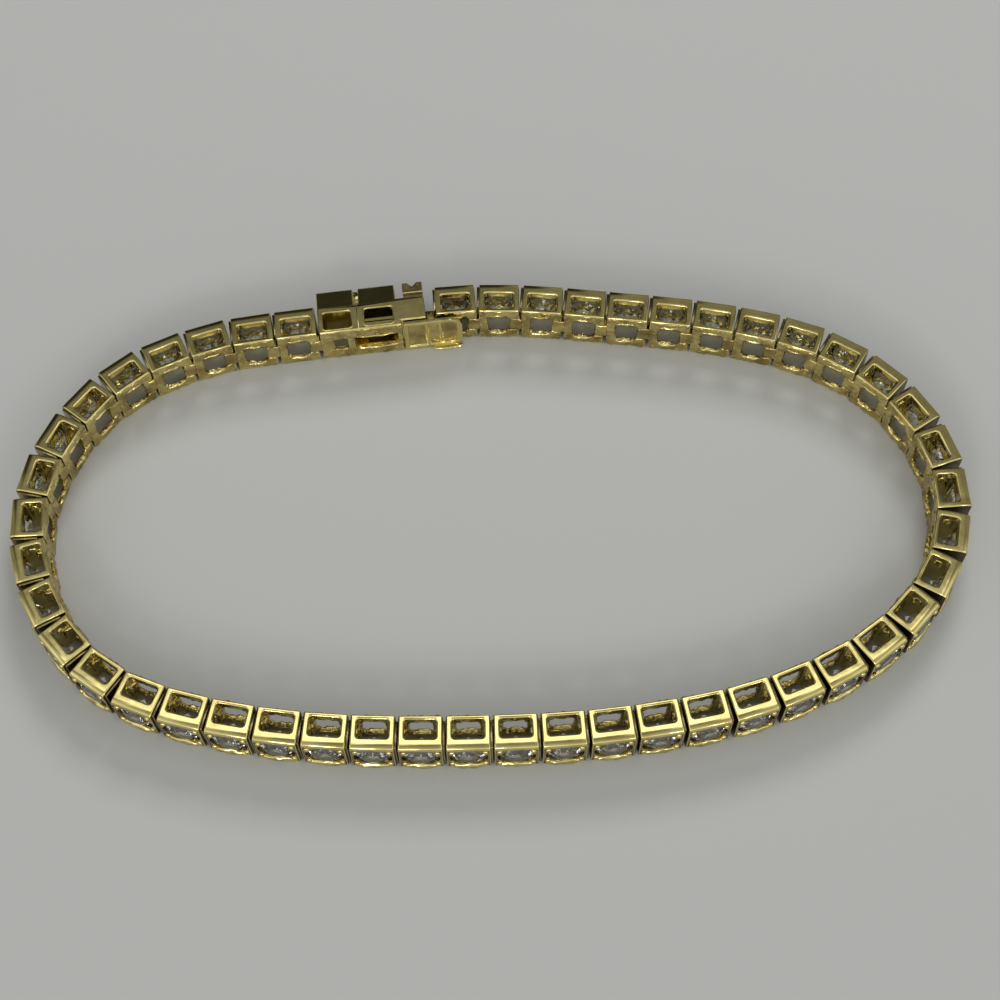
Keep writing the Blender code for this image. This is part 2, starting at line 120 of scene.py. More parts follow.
class Graph:
    """The nodes of one material, made by short calls."""

    def __init__(self, owner: Material | bpy.types.World) -> None:
        """Switch the owner's nodes on and keep them and the shader that they come with.

        Args:
            owner: A material or a world.
        """
        owner.use_nodes = True
        self.tree = owner.node_tree
        self.shader = next(node for node in self.tree.nodes if node.outputs)

    def feed(self, node: bpy.types.Node, inputs: dict) -> None:
        """Give a node's sockets their links and values.

        Args:
            node: The node.
            inputs: Values or wires by socket name or number.
        """
        for key, value in inputs.items():
            if isinstance(value, Wire):
                self.tree.links.new(value.socket, node.inputs[key])
            else:
                node.inputs[key].default_value = value

    def node(self, kind: str, settings: dict | None = None, inputs: dict | None = None,
             output: int | str = 0) -> Wire:
        """Add a node.

        Args:
            kind: The node's type.
            settings: Its own settings; stops is a ramp's list of places and colours.
            inputs: Values or wires by socket name or number.
            output: Which output the wire holds.

        Returns:
            The chosen output.
        """
        made = self.tree.nodes.new(kind)
        for name, value in (settings or {}).items():
            if name == "stops":
                ramp = made.color_ramp
                while len(ramp.elements) < len(value):
                    ramp.elements.new(0.5)
                for element, (place, colour) in zip(ramp.elements, value):
                    element.position = place
                    element.color = (*colour, 1.0)
            else:
                setattr(made, name, value)
        self.feed(made, inputs or {})
        return Wire(self, made.outputs[output])

    def maths(self, operation: str, first: "Wire | float", second: "Wire | float") -> Wire:
        """Work out one operation on two numbers."""
        return self.node("ShaderNodeMath", {"operation": operation}, {0: first, 1: second})

    def mix(self, factor: "Wire | float", first: "Wire | tuple", second: "Wire | tuple") -> Wire:
        """Mix two colours by the share of the second."""
        return self.node(
            "ShaderNodeMix", {"data_type": "RGBA"}, {0: factor, 6: first, 7: second}, output=2)

    def ramp(self, value: Wire, stops: tuple[Span, ...]) -> Wire:
        """Turn a value from 0 to 1 into a grey by a list of places and tones."""
        return self.node(
            "ShaderNodeValToRGB",
            {"stops": [(place, (tone, tone, tone)) for place, tone in stops]}, {"Fac": value})

    def noise(self, size: float, detail: float) -> Wire:
        """Noise from 0 to 1 over the object's own coordinates, with patches of a size."""
        place = self.node("ShaderNodeTexCoord", output="Object")
        return self.node(
            "ShaderNodeTexNoise", {}, {"Vector": place, "Scale": 1.0 / size, "Detail": detail})

    def bump(self, height: Wire) -> Wire:
        """Raise a surface by a height in metres."""
        return self.node("ShaderNodeBump", {}, {"Strength": 1.0, "Distance": 1.0, "Height": height})

    def band(self, value: Wire, low: float, high: float, start: float = 0.0, end: float = 1.0
             ) -> Wire:
        """Map a value's range onto another, held within it.

        Args:
            value: The value.
            low: Its low end.
            high: Its high end.
            start: What the low end becomes.
            end: What the high end becomes.

        Returns:
            The mapped value.
        """
        return self.node(
            "ShaderNodeMapRange", {"clamp": True},
            {"Value": value, "From Min": low, "From Max": high, "To Min": start, "To Max": end})


@dataclass(frozen=True)
class GoldFinish:
    """Plated gold: polished where it was buffed, grainy where it is as cast."""

    name: str
    colour: Colour
    shade: Colour
    smooth: float
    rough: float
    grain: float
    grain_size: float
    wave: float
    wave_size: float
    patch_size: float = 1.6 * MM
    patch_edges: Span = (0.35, 0.65)
    haze_size: float = 0.5 * MM
    haze_edges: Span = (0.3, 0.7)

    def make(self) -> Material:
        """Make the material.

        Returns:
            The material.
        """
        made = bpy.data.materials.new(self.name)
        graph = Graph(made)
        patches = graph.band(graph.noise(self.patch_size, 3.0), *self.patch_edges)
        haze = graph.noise(self.haze_size, 2.0)
        relief = graph.noise(self.grain_size, 3.0) * self.grain + (
            graph.noise(self.wave_size, 1.0) * self.wave)
        tone = graph.mix(patches, (*self.colour, 1.0), (*self.shade, 1.0))
        gloss = graph.band(haze, *self.haze_edges, self.smooth, self.rough)
        graph.feed(graph.shader, {
            "Base Color": tone, "Roughness": gloss, "Normal": graph.bump(relief), "Metallic": 1.0})
        made.diffuse_color = (*self.colour, 1.0)
        return made


@dataclass(frozen=True)
class StoneFinish:
    """A clear cut stone."""

    name: str
    colour: Colour
    index: float
    film: float = 0.05
    film_size: float = 0.8 * MM
    film_edges: Span = (0.45, 0.80)

    def make(self) -> Material:
        """Make the material.

        Returns:
            The material.
        """
        made = bpy.data.materials.new(self.name)
        graph = Graph(made)
        film = graph.band(graph.noise(self.film_size, 2.0), *self.film_edges, 0.0, self.film)
        made.diffuse_color = (*self.colour, 1.0)
        graph.feed(graph.shader, {
            "Roughness": film, "Base Color": made.diffuse_color, "IOR": self.index,
            "Transmission Weight": 1.0})
        return made


@dataclass(frozen=True)
class FloorFinish:
    """A plain pale surface with a faint tooth."""

    name: str
    colour: Colour
    rough: float = 0.85
    tooth: float = 0.015 * MM
    tooth_size: float = 1.2 * MM

    def make(self) -> Material:
        """Make the material.

        Returns:
            The material.
        """
        made = bpy.data.materials.new(self.name)
        graph = Graph(made)
        tooth = graph.bump(graph.noise(self.tooth_size, 3.0) * self.tooth)
        graph.feed(graph.shader, {
            "Normal": tooth, "Base Color": (*self.colour, 1.0), "Roughness": self.rough})
        return made


@dataclass(frozen=True)
class Palette:
    """The finished materials."""

    polished: Material
    cast: Material
    setting: Material
    recess: Material
    stone: Material
    floor: Material

    @classmethod
    def mixed(cls) -> "Palette":
        """Make every finish once.

        Returns:
            The palette.
        """
        return cls(
            polished=GoldFinish(
                "polished_gold", colour=(0.84, 0.73, 0.30), shade=(0.70, 0.58, 0.22),
                smooth=0.09, rough=0.17, grain=0.0006 * MM, grain_size=0.16 * MM,
                wave=0.010 * MM, wave_size=1.1 * MM).make(),
            cast=GoldFinish(
                "cast_gold", colour=(0.76, 0.62, 0.24), shade=(0.34, 0.25, 0.08),
                smooth=0.12, rough=0.26, grain=0.012 * MM, grain_size=0.10 * MM,
                wave=0.034 * MM, wave_size=0.35 * MM).make(),
            # setting: darker gold, painted shade on the front faces round the stones, on the
            # shoulders and on the thumb tab
            setting=GoldFinish(
                "half_shade_gold", colour=(0.42, 0.34, 0.15), shade=(0.24, 0.18, 0.07),
                smooth=0.12, rough=0.26, grain=0.006 * MM, grain_size=0.09 * MM,
                wave=0.012 * MM, wave_size=0.35 * MM).make(),
            # recess: near-black gold, painted shade on the links' end faces so that the gaps
            # between links look dark
            recess=GoldFinish(
                "shadowed_gold", colour=(0.16, 0.11, 0.04), shade=(0.05, 0.035, 0.015),
                smooth=0.25, rough=0.45, grain=0.008 * MM, grain_size=0.12 * MM,
                wave=0.020 * MM, wave_size=0.5 * MM).make(),
            # The stones' grey tint is painted shade: it darkens the clear stones to the grey they
            # show among dark surroundings.
            stone=StoneFinish("clear_stone", colour=(0.62, 0.62, 0.60), index=1.85).make(),
            floor=FloorFinish("pale_floor", colour=(0.485, 0.49, 0.47)).make(),
        )


class Bench:
    """Blender's modelling tools, worked on one object at a time."""

    @staticmethod
    def take(obj: Solid, *others: Solid) -> None:
        """Leave edit mode and select an object, with others beside it.

        Args:
            obj: The object that becomes active.
            others: Objects that are selected too.
        """
        active = bpy.context.view_layer.objects.active
        if active is not None and active.mode != "OBJECT":
            bpy.ops.object.mode_set(mode="OBJECT")
        bpy.ops.object.select_all(action="DESELECT")
        for each in (obj, *others):
            each.select_set(True)
        bpy.context.view_layer.objects.active = obj

    @staticmethod
    def settle(name: str, material: Material) -> Solid:
        """Name the new primitive, dress it and fix its place in its mesh.

        Args:
            name: Its name.
            material: Its material.

        Returns:
            The object.
        """
        made = bpy.context.active_object
        made.name = name
        bpy.ops.object.transform_apply(location=True, rotation=True, scale=True)
        made.data.materials.append(material)
        return made

    @classmethod
    def block(cls, name: str, x: Span, y: Span, z: Span, material: Material) -> Solid:
        """Add a box.

        Args:
            name: Its name.
            x: Its ends along X.
            y: Its ends along Y.
            z: Its ends along Z.
            material: Its material.

        Returns:
            The box.
        """
        low, high = (Vector(corner) for corner in zip(x, y, z))
        bpy.ops.object.select_all(action="DESELECT")
        bpy.ops.mesh.primitive_cube_add(size=1.0, location=(low + high) / 2, scale=high - low)
        return cls.settle(name, material)

    @classmethod
    def rod(cls, name: str, centre: Point, radius: float, length: float, axis: Axis, sides: int,
            material: Material) -> Solid:
        """Add a cylinder about its centre.

        Args:
            name: Its name.
            centre: Its middle.
            radius: Its radius.
            length: Its length.
            axis: The way it stands.
            sides: How many sides it has.
            material: Its material.

        Returns:
            The rod.
        """
        bpy.ops.object.select_all(action="DESELECT")
        bpy.ops.mesh.primitive_cone_add(
            vertices=sides, radius1=radius, radius2=radius, depth=length, location=centre,
            rotation=axis.value)
        return cls.settle(name, material)

    @classmethod
    def ball(cls, name: str, centre: Point, radii: Point, material: Material) -> Solid:
        """Add a rounded bead of a few dozen faces.

        Args:
            name: Its name.
            centre: Its middle.
            radii: Its radius along each axis.
            material: Its material.

        Returns:
            The bead.
        """
        bpy.ops.object.select_all(action="DESELECT")
        bpy.ops.mesh.primitive_ico_sphere_add(
            subdivisions=2, radius=1.0, location=centre, scale=radii)
        return cls.settle(name, material)

    @classmethod
    @contextmanager
    def editing(cls, obj: Solid, mode: str = "FACE") -> Iterator[None]:
        """Work on an object in edit mode, with nothing selected at the start.

        Args:
            obj: The object.
            mode: What is selected: VERT, EDGE or FACE.

        Yields:
            Nothing.
        """
        cls.take(obj)
        bpy.ops.object.mode_set(mode="EDIT")
        bpy.ops.mesh.select_mode(type=mode)
        bpy.ops.mesh.select_all(action="DESELECT")
        yield
        bpy.ops.object.mode_set(mode="OBJECT")

    @staticmethod
    def pick(obj: Solid, kind: str, rule: Callable) -> None:
        """Select the verts, edges or faces that a rule names.

        Args:
            obj: The object in edit mode.
            kind: verts, edges or faces.
            rule: Says of each whether it is meant.
        """
        bpy.ops.mesh.select_all(action="DESELECT")
        shape = bmesh.from_edit_mesh(obj.data)
        for part in getattr(shape, kind):
            part.select_set(rule(part))
        shape.select_flush_mode()
        bmesh.update_edit_mesh(obj.data)

    @classmethod
    def round_edges(cls, obj: Solid, rule: Callable, radius: float, steps: int) -> Solid:
        """Round the edges that a rule names.

        Args:
            obj: The object.
            rule: Says of each edge whether it is meant.
            radius: The rounding's width.
            steps: How many faces it has.

        Returns:
            The object.
        """
        with cls.editing(obj, "EDGE"):
            cls.pick(obj, "edges", rule)
            bpy.ops.mesh.bevel(offset=radius, segments=steps, affect="EDGES")
        return obj

    @classmethod
    def finish(cls, obj: Solid, kind: str, **settings: object) -> None:
        """Put a modifier on an object and apply it.

        Args:
            obj: The object.
            kind: The modifier's type.
            settings: Its settings, in the order in which they are made.
        """
        step = obj.modifiers.new(kind.lower(), kind)
        for name, value in settings.items():
            setattr(step, name, value)
        cls.take(obj)
        bpy.ops.object.modifier_apply(modifier=step.name)

    @classmethod
    def divide(cls, obj: Solid, cuts: int = 1, smoothness: float = 0.0) -> None:
        """Divide every face, so that there is something to round or roughen.

        Args:
            obj: The object.
            cuts: How many cuts go across each edge.
            smoothness: How far the new points are moved outwards.
        """
        with cls.editing(obj):
            bpy.ops.mesh.select_all(action="SELECT")
            bpy.ops.mesh.subdivide(number_cuts=cuts, smoothness=smoothness)

    @classmethod
    def lump(cls, name: str, centre: Point, radii: Point, material: Material) -> Solid:
        """Add a bead that is roughened once it is in its place.

        Args:
            name: Its name.
            centre: Its middle.
            radii: Its radius along each axis.
            material: Its material.

        Returns:
            The lump.
        """
        made = cls.ball(name, centre, radii, material)
        cls.divide(made)
        cls.mark(made)
        return made

    @classmethod
    def work(cls, target: Solid, how: Cut, *tools: Solid) -> Solid:
        """Cut tools out of a target or join them to it.

        Args:
            target: The piece.
            how: What the tools do.
            tools: Closed shapes, which are used up.

        Returns:
            The piece.
        """
        for tool in tools:
            cls.finish(target, "BOOLEAN", operation=how.value, solver="EXACT",
                       material_mode="TRANSFER", object=tool)
            mesh = tool.data
            bpy.data.objects.remove(tool)
            bpy.data.meshes.remove(mesh)
        return target

    @classmethod
    def gather(cls, target: Solid, *parts: Solid) -> Solid:
        """Add finished parts to a piece as shells of their own.

        Args:
            target: The piece.
            parts: Closed shapes that reach into it, which are used up.

        Returns:
            The piece.
        """
        cls.take(target, *parts)
        bpy.ops.object.join()
        return target

    @classmethod
    def dress(cls, obj: Solid, material: Material, rule: Callable) -> None:
        """Give the faces that a rule names a material of their own.

        Args:
            obj: The object.
            material: The material.
            rule: Says of each face whether it is meant.
        """
        if material.name not in obj.data.materials:
            obj.data.materials.append(material)
        obj.active_material_index = obj.data.materials.find(material.name)
        with cls.editing(obj):
            cls.pick(obj, "faces", rule)
            bpy.ops.object.material_slot_assign()

    @staticmethod
    def mark(obj: Solid) -> None:
        """Mark a whole part as cast, so that it is roughened once it is in its place."""
        group = obj.vertex_groups.new(name=CAST_GROUP)
        group.add([vert.index for vert in obj.data.vertices], 1.0, "REPLACE")

    @classmethod
    def roughen(cls, obj: Solid, size: float, height: float) -> None:
        """Raise lumps on the cast parts of a piece.

        Args:
            obj: The piece.
            size: How large the lumps are.
            height: How far they stand out from the hollows.
        """
        grain = bpy.data.textures.new("lumps", "CLOUDS")
        grain.noise_scale = size
        grain.noise_depth = 1
        cls.finish(obj, "DISPLACE", texture=grain, texture_coords="LOCAL",
                   vertex_group=CAST_GROUP, strength=height, mid_level=0.5)
        bpy.data.textures.remove(grain)

    @classmethod
    def clean(cls, obj: Solid) -> None:
        """Merge doubled points and dissolve what lies flat.

        Args:
            obj: The object.
        """
        with cls.editing(obj, "VERT"):
            bpy.ops.mesh.select_all(action="SELECT")
            bpy.ops.mesh.remove_doubles(threshold=DOUBLED)
            bpy.ops.mesh.dissolve_limited(angle_limit=FLAT, delimit={"MATERIAL"})

    @classmethod
    def soften(cls, obj: Solid, radius: float, steps: int,
               angle: float = math.radians(40.0)) -> None:
        """Round every edge that is sharper than an angle."""
        cls.finish(obj, "BEVEL", width=radius, segments=steps, limit_method="ANGLE",
                   angle_limit=angle, miter_outer="MITER_ARC", use_clamp_overlap=True)

    @classmethod
    def shade(cls, obj: Solid, angle: float = math.radians(38.0)) -> None:
        """Shade smooth up to an angle, with flat faces kept flat.

        Args:
            obj: The object.
            angle: The angle past which an edge stays sharp, in radians.
        """
        cls.take(obj)
        bpy.ops.object.shade_smooth_by_angle(angle=angle)
        cls.finish(obj, "WEIGHTED_NORMAL", keep_sharp=True)


def along(edge: Edge) -> Vector:
    """The direction of an edge as the share of its length along each axis, with no sign."""
    way = (edge.verts[1].co - edge.verts[0].co).normalized()
    return Vector((abs(way.x), abs(way.y), abs(way.z)))


def upright(edge: Edge) -> bool:
    """Whether an edge runs along Z."""
    return along(edge).z > ALIGNED


def outward(edge: Edge) -> bool:
    """Whether an edge runs along Y."""
    return along(edge).y > ALIGNED


def bend(edge: Edge) -> float:
    """The angle between an edge's two faces."""
    return edge.calc_face_angle(0.0)


def around(middle: float, half: float) -> Span:
    """The span that reaches as far to both sides of a middle."""
    return middle - half, middle + half


@dataclass(frozen=True)
class Bar:
    """The cross-section that every link and the clasp share."""

    start: float = 0.52 * MM
    back: float = -0.50 * MM
    width: float = 4.25 * MM
    over: float = 1.00 * MM

    @property
    def middle(self) -> float:
        """Half the bracelet's width."""
        return self.width / 2

    @property
    def through(self) -> Span:
        """Past both rims along Z, for a tool that cuts right across."""
        return -self.over, self.width + self.over

    def across(self, width: float) -> Span:
        """A width along Z, about the middle."""
        return around(self.middle, width / 2)


@dataclass(frozen=True)
class Part:
    """A sub-assembly, with the cross-section and the materials that all of them share."""

    bar: Bar
    palette: Palette

    def pane(self, name: str, x: Span, y: Span, z: Span, corner: float) -> Solid:
        """Make a polished block whose upright edges are rounded.

        Args:
            name: Its name.
            x: Its ends along X.
            y: Its ends along Y.
            z: Its ends along Z.
            corner: The rounding's width.

        Returns:
            The block.
        """
        made = Bench.block(name, x, y, z, self.palette.polished)
        return Bench.round_edges(made, upright, corner, 4)


@dataclass(frozen=True)
class Placement:
    """Where a link or the clasp stands in the loop."""

    hinge: Vector
    heading: float

    @property
    def matrix(self) -> Matrix:
        """The way from the piece's own frame into the loop."""
        turn = Matrix.Rotation(self.heading, 4, "Z")
        return Matrix.Translation((self.hinge.x, self.hinge.y, 0.0)) @ turn


@dataclass(frozen=True)
class LoopReader:
    """Finds the placement of a node from the node's own faces."""

    bar: Bar
    steep: float = 0.3
    upright: float = 0.01
    near: float = math.radians(35.0)
    nearest: float = math.radians(7.0)

    def placement(self, node: str, towards: Vector, end: float) -> Placement:
        """Read a node's heading from its end faces and its hinge from its far end and back.

        Args:
            node: The node's name.
            towards: Roughly the way to the next piece.
            end: The far end's place in the piece's own frame.

        Returns:
            The placement.
        """
        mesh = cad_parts[node].data
        about = math.atan2(towards.y, towards.x)
        way = Vector((0.0, 0.0))
        for face in mesh.polygons:
            normal = face.normal
            if abs(normal.z) > self.steep:
                continue
            for quarter in range(4):
                angle = math.atan2(normal.y, normal.x) - quarter * math.pi / 2
                gap = (angle - about + math.pi) % (2 * math.pi) - math.pi
                if abs(gap) < self.near:
                    way += face.area * Vector((math.cos(about + gap), math.sin(about + gap)))
        forward = self.snapped(mesh, way.normalized())
        side = Vector((-forward.y, forward.x))
        flats = [vert.co.xy for vert in mesh.vertices]
        far = max(point.dot(forward) for point in flats)
        back = min(point.dot(side) for point in flats)
        hinge = forward * (far - end) + side * (back - self.bar.back)
        return Placement(hinge, math.atan2(forward.y, forward.x))

    def snapped(self, mesh: bpy.types.Mesh, way: Vector) -> Vector:
        """The exact normal of the largest flat end nearest to a direction.

        Args:
            mesh: The node's mesh.
            way: Roughly the direction.

        Returns:
            The direction.
        """
        best = Vector((0.0, 0.0))
        for face in mesh.polygons:
            flat = face.normal.xy
            if abs(face.normal.z) < self.upright and flat.dot(way) > math.cos(self.nearest):
                best += flat * face.area
        return best.normalized() if best.length else way


@dataclass(frozen=True)
class Brilliant:
    """A round brilliant, cut from a blank by facet planes as a cutter lays them."""

    radius: float = 1.45 * MM
    table: float = 0.56
    crown: float = math.radians(34.5)
    pavilion: float = math.radians(40.8)
    girdle: float = 0.09 * MM
    star: float = 0.52
    lower: float = 0.76
    blank_sides: int = 32
    tiny: float = 0.00001 * MM

    def point(self, reach: float, turn: float, height: float) -> Vector:
        """A point by its distance from the axis, its turn in eighths and its height."""
        angle = turn * math.pi / 4
        return Vector((reach * math.cos(angle), reach * math.sin(angle), height))

    def facet(self, first: Vector, second: Vector, third: Vector) -> None:
        """Cut off what lies outside the plane through three points.

        Args:
            first: A point on the facet.
            second: Another.
            third: A third.
        """
        normal = (second - first).cross(third - first).normalized()
        if normal.dot(first) < 0.0:
            normal = -normal
        bpy.ops.mesh.select_all(action="SELECT")
        bpy.ops.mesh.bisect(
            plane_co=first, plane_no=normal, use_fill=True, clear_outer=True,
            threshold=self.tiny)

    def cut(self, material: Material) -> Solid:
        """Cut one stone about the origin, table up.

        Args:
            material: Its material.

        Returns:
            The stone.
        """
        edge = self.girdle / 2
        half = math.cos(math.pi / 8)
        table = self.radius * self.table
        top = edge + (self.radius - table) * math.tan(self.crown)
        star_reach = table * half + self.star * (self.radius - table * half)
        star_height = edge + (self.radius - star_reach * half) * math.tan(self.crown)
        low_reach = self.radius * (1.0 - self.lower)
        low_height = -edge - (self.radius - low_reach * half) * math.tan(self.pavilion)
        depth = -edge - self.radius * math.tan(self.pavilion)
        length = 2 * max(top, -depth)
        stone = Bench.rod(
            "stone_master", (0.0, 0.0, 0.0), self.radius, length, Axis.Z, self.blank_sides,
            material)
        with Bench.editing(stone):
            self.facet(*(self.point(table, turn, top) for turn in range(3)))
            for turn in range(8):
                side = self.point(self.radius, turn, edge)
                across = self.point(1.0, turn + 2, 0.0)
                self.facet(side, side + across, self.point(table, turn, top))
                foot = self.point(self.radius, turn, -edge)
                self.facet(foot, foot + across, Vector((0.0, 0.0, depth)))
            for turn in range(8):
                tip = self.point(star_reach, turn + 0.5, star_height)
                self.facet(self.point(table, turn, top), self.point(table, turn + 1, top), tip)
                low = self.point(low_reach, turn + 0.5, low_height)
                for start in (turn, turn + 1):
                    for rim, point in ((edge, tip), (-edge, low)):
                        self.facet(self.point(self.radius, start, rim),
                                   self.point(self.radius, turn + 0.5, rim), point)
        return stone


@dataclass(frozen=True)
class Setting(Part):
    """The seat of one stone in a front face, with its four beads."""

    depth: float = 0.42 * MM
    pan: float = 0.06 * MM
    pan_wall: float = 0.09 * MM
    pan_height: float = 3.40 * MM
    seat_radius: float = 1.48 * MM
    seat_depth: float = 0.36 * MM
    throat: float = 1.36 * MM
    collar: float = 0.10 * MM
    chamber_wall: float = 0.52 * MM
    chamber_height: float = 3.00 * MM
    bead: float = 0.26 * MM
    bead_spread: float = 1.28 * MM
    bead_rise: float = 0.20 * MM
    sides: int = 40

    def sink(self, body: Solid, middle: float, front: float, length: float, inner: float) -> None:
        """Sink the pan, the seat, its throat and the chamber behind it.

        Args:
            body: The piece.
            middle: The stone's middle along X.
            front: The front face's place along Y.
            length: The length of the front face.
            inner: Where the chamber opens into the piece, along Y.
        """
        # Painted shade: the pan, seat and throat are cut with the darker gold, so the front face
        # round each stone looks shaded.
        bar, finish = self.bar, self.palette.setting
        pan = Bench.block(
            "pan", around(middle, length / 2 - self.pan_wall),
            (front - self.pan, front + bar.over), bar.across(self.pan_height), finish)
        seat = Bench.rod(
            "seat", (middle, front, bar.middle), self.seat_radius, 2 * self.seat_depth, Axis.Y,
            self.sides, finish)
        reach = self.seat_depth + self.collar
        throat = Bench.rod(
            "throat", (middle, front - reach / 2, bar.middle), self.throat, reach + self.pan,
            Axis.Y, self.sides, finish)
        chamber = Bench.block(
            "chamber", around(middle, length / 2 - self.chamber_wall),
            (inner - bar.over / 2, front - reach), bar.across(self.chamber_height),
            self.palette.polished)
        Bench.work(body, Cut.TAKE, pan, seat, throat, chamber)

    def beads(self, body: Solid, middle: float, front: float) -> None:
        """Raise the four beads that hold the stone.

        Args:
            body: The piece.
            middle: The stone's middle along X.
            front: The front face's place along Y.
        """
        for x in around(middle, self.bead_spread):
            for z in around(self.bar.middle, self.bead_spread):
                Bench.gather(body, Bench.ball(
                    "bead", (x, front - self.pan, z), (self.bead, self.bead_rise, self.bead),
                    self.palette.polished))


@dataclass(frozen=True)
class Hinge(Part):
    """The eye and the pin between two pieces."""

    eye_radius: float = 0.42 * MM
    eye_width: float = 1.60 * MM
    bore: float = 0.20 * MM
    pin: float = 0.15 * MM
    clearance: float = 0.10 * MM
    grip: float = 0.20 * MM
    fuse: float = 0.08 * MM
    cuts: int = 4
    sides: int = 12

    @property
    def half_notch(self) -> float:
        """Half the width of the notch that the eye stands in."""
        return self.eye_width / 2 + self.clearance

    def eye(self) -> Solid:
        """Make the lug that reaches back over the pin before it.

        Returns:
            The lug.
        """
        bar, cast = self.bar, self.palette.cast
        lug = Bench.block(
            "eye", (-self.eye_radius, bar.start + self.fuse), (bar.back, self.eye_radius),
            bar.across(self.eye_width), cast)
        Bench.divide(lug, self.cuts)
        Bench.finish(lug, "SUBSURF", levels=1, render_levels=1)
        Bench.mark(lug)
        bore = Bench.rod("bore", (0.0, 0.0, bar.middle), self.bore, self.eye_width + bar.over,
                         Axis.Z, self.sides, cast)
        return Bench.work(lug, Cut.TAKE, bore)

    def peg(self, x: float, y: float) -> Solid:
        """Make the pin across the notch, at a place along X and Y."""
        length = self.eye_width + 2 * self.clearance + 2 * self.grip
        return Bench.rod("pin", (x, y, self.bar.middle), self.pin, length, Axis.Z, self.sides,
                         self.palette.polished)


@dataclass(frozen=True)
class Rim(Part):
    """How the upper and lower rims are dressed: sloped outwards, their edges rolled."""

    width: float
    drop: float
    strips: int
    back_step: float = 0.035 * MM
    roll: float = 0.13 * MM
    crease: float = 0.05 * MM
    steps: int = 4
    near: float = 0.01 * MM
    shallow: float = math.radians(4.0)
    sharp: float = math.radians(30.0)

    def blank(self, name: str, end: float, front: float) -> Solid:
        """Make a plain block and slope both its rims, in one plane or as a pillow.

        Args:
            name: Its name.
            end: Its far end's place along X.
            front: Its front face's place along Y.

        Returns:
            The block.
        """
        bar = self.bar
        body = Bench.block(name, (bar.start, end), (bar.back + self.back_step, front),
                           (0.0, bar.width), self.palette.polished)
        step = self.width / self.strips
        with Bench.editing(body, "EDGE"):
            for number in range(self.strips):
                line = front - self.width + number * step
                bpy.ops.mesh.select_all(action="SELECT")
                bpy.ops.mesh.bisect(plane_co=(0.0, line, 0.0), plane_no=(0.0, 1.0, 0.0))
            for number in range(1, self.strips + 1):
                line = front - self.width + number * step
                fall = self.drop * (number ** 2 - (number - 1) ** 2) / self.strips ** 2
                for side in (-1, 1):
                    Bench.pick(body, "verts", lambda vert: vert.co.y > line - self.near
                               and side * (vert.co.z - bar.middle) > 0.0)
                    bpy.ops.transform.translate(value=(0.0, 0.0, -side * fall))
        if self.strips == 1:
            Bench.round_edges(
                body, lambda edge: self.shallow < bend(edge) < self.sharp, self.crease, 2)
        return body

    def roll_edges(self, body: Solid) -> None:
        """Clean the finished shape and roll the sharp edges of both rims.

        Args:
            body: The piece.
        """
        Bench.clean(body)
        reach = self.bar.middle - self.drop - self.near
        Bench.round_edges(
            body, lambda edge: bend(edge) > self.sharp
            and all(abs(vert.co.z - self.bar.middle) > reach for vert in edge.verts),
            self.roll, self.steps)


@dataclass(frozen=True)
class CastPlate(Part):
    """The back of a piece as it came from the mould: a lumpy plate round the openings."""

    cells_x: int = 18
    cells_z: int = 20
    margin: float = 0.07 * MM
    thickness: float = 0.36 * MM
    inset: float = 0.05 * MM

    def build(self, start: float, end: float, is_hole: Callable[[float, float], bool]) -> Solid:
        """Lay out the plate's cells, leave out the holes and give it its thickness.

        Args:
            start: Where the piece starts along X.
            end: Where it ends along X.
            is_hole: Says of a place by X and Z whether it is open.

        Returns:
            The plate.
        """
        bar = self.bar
        start, end = start + self.inset, end - self.inset
        bpy.ops.object.select_all(action="DESELECT")
        bpy.ops.mesh.primitive_grid_add(
            x_subdivisions=self.cells_x, y_subdivisions=self.cells_z, size=1.0,
            location=((start + end) / 2, bar.back, bar.middle),
            rotation=(math.radians(90.0), 0.0, 0.0))
        bpy.context.active_object.scale = (end - start, bar.width - 2 * self.margin, 1.0)
        plate = Bench.settle("cast_plate", self.palette.cast)
        with Bench.editing(plate):
            Bench.pick(plate, "faces", lambda face: is_hole(
                face.calc_center_median().x, face.calc_center_median().z))
            bpy.ops.mesh.delete(type="FACE")
        Bench.finish(plate, "SOLIDIFY", thickness=self.thickness, offset=-1.0)
        Bench.finish(plate, "SUBSURF", levels=1, render_levels=1)
        Bench.mark(plate)
        return plate


@dataclass(frozen=True)
class Sill(Part):
    """A bright lumpy bar along the edge of an opening, left by the casting."""

    face: float
    thick: float = 0.15 * MM
    depth: float = 0.16 * MM
    sunk: float = 0.4

    def build(self, start: float, end: float, z: float) -> Solid:
        """Lay one bar along X.

        Args:
            start: Where it starts along X.
            end: Where it ends along X.
            z: Its height.

        Returns:
            The bar.
        """
        return Bench.lump(
            "sill", ((start + end) / 2, self.face + self.sunk * self.depth, z),
            ((end - start) / 2, self.depth, self.thick), self.palette.polished)

    def pair(self, start: float, end: float, width: float) -> list[Solid]:
        """Lay one bar on either side of the middle, a width apart."""
        return [self.build(start, end, z) for z in self.bar.across(width)]


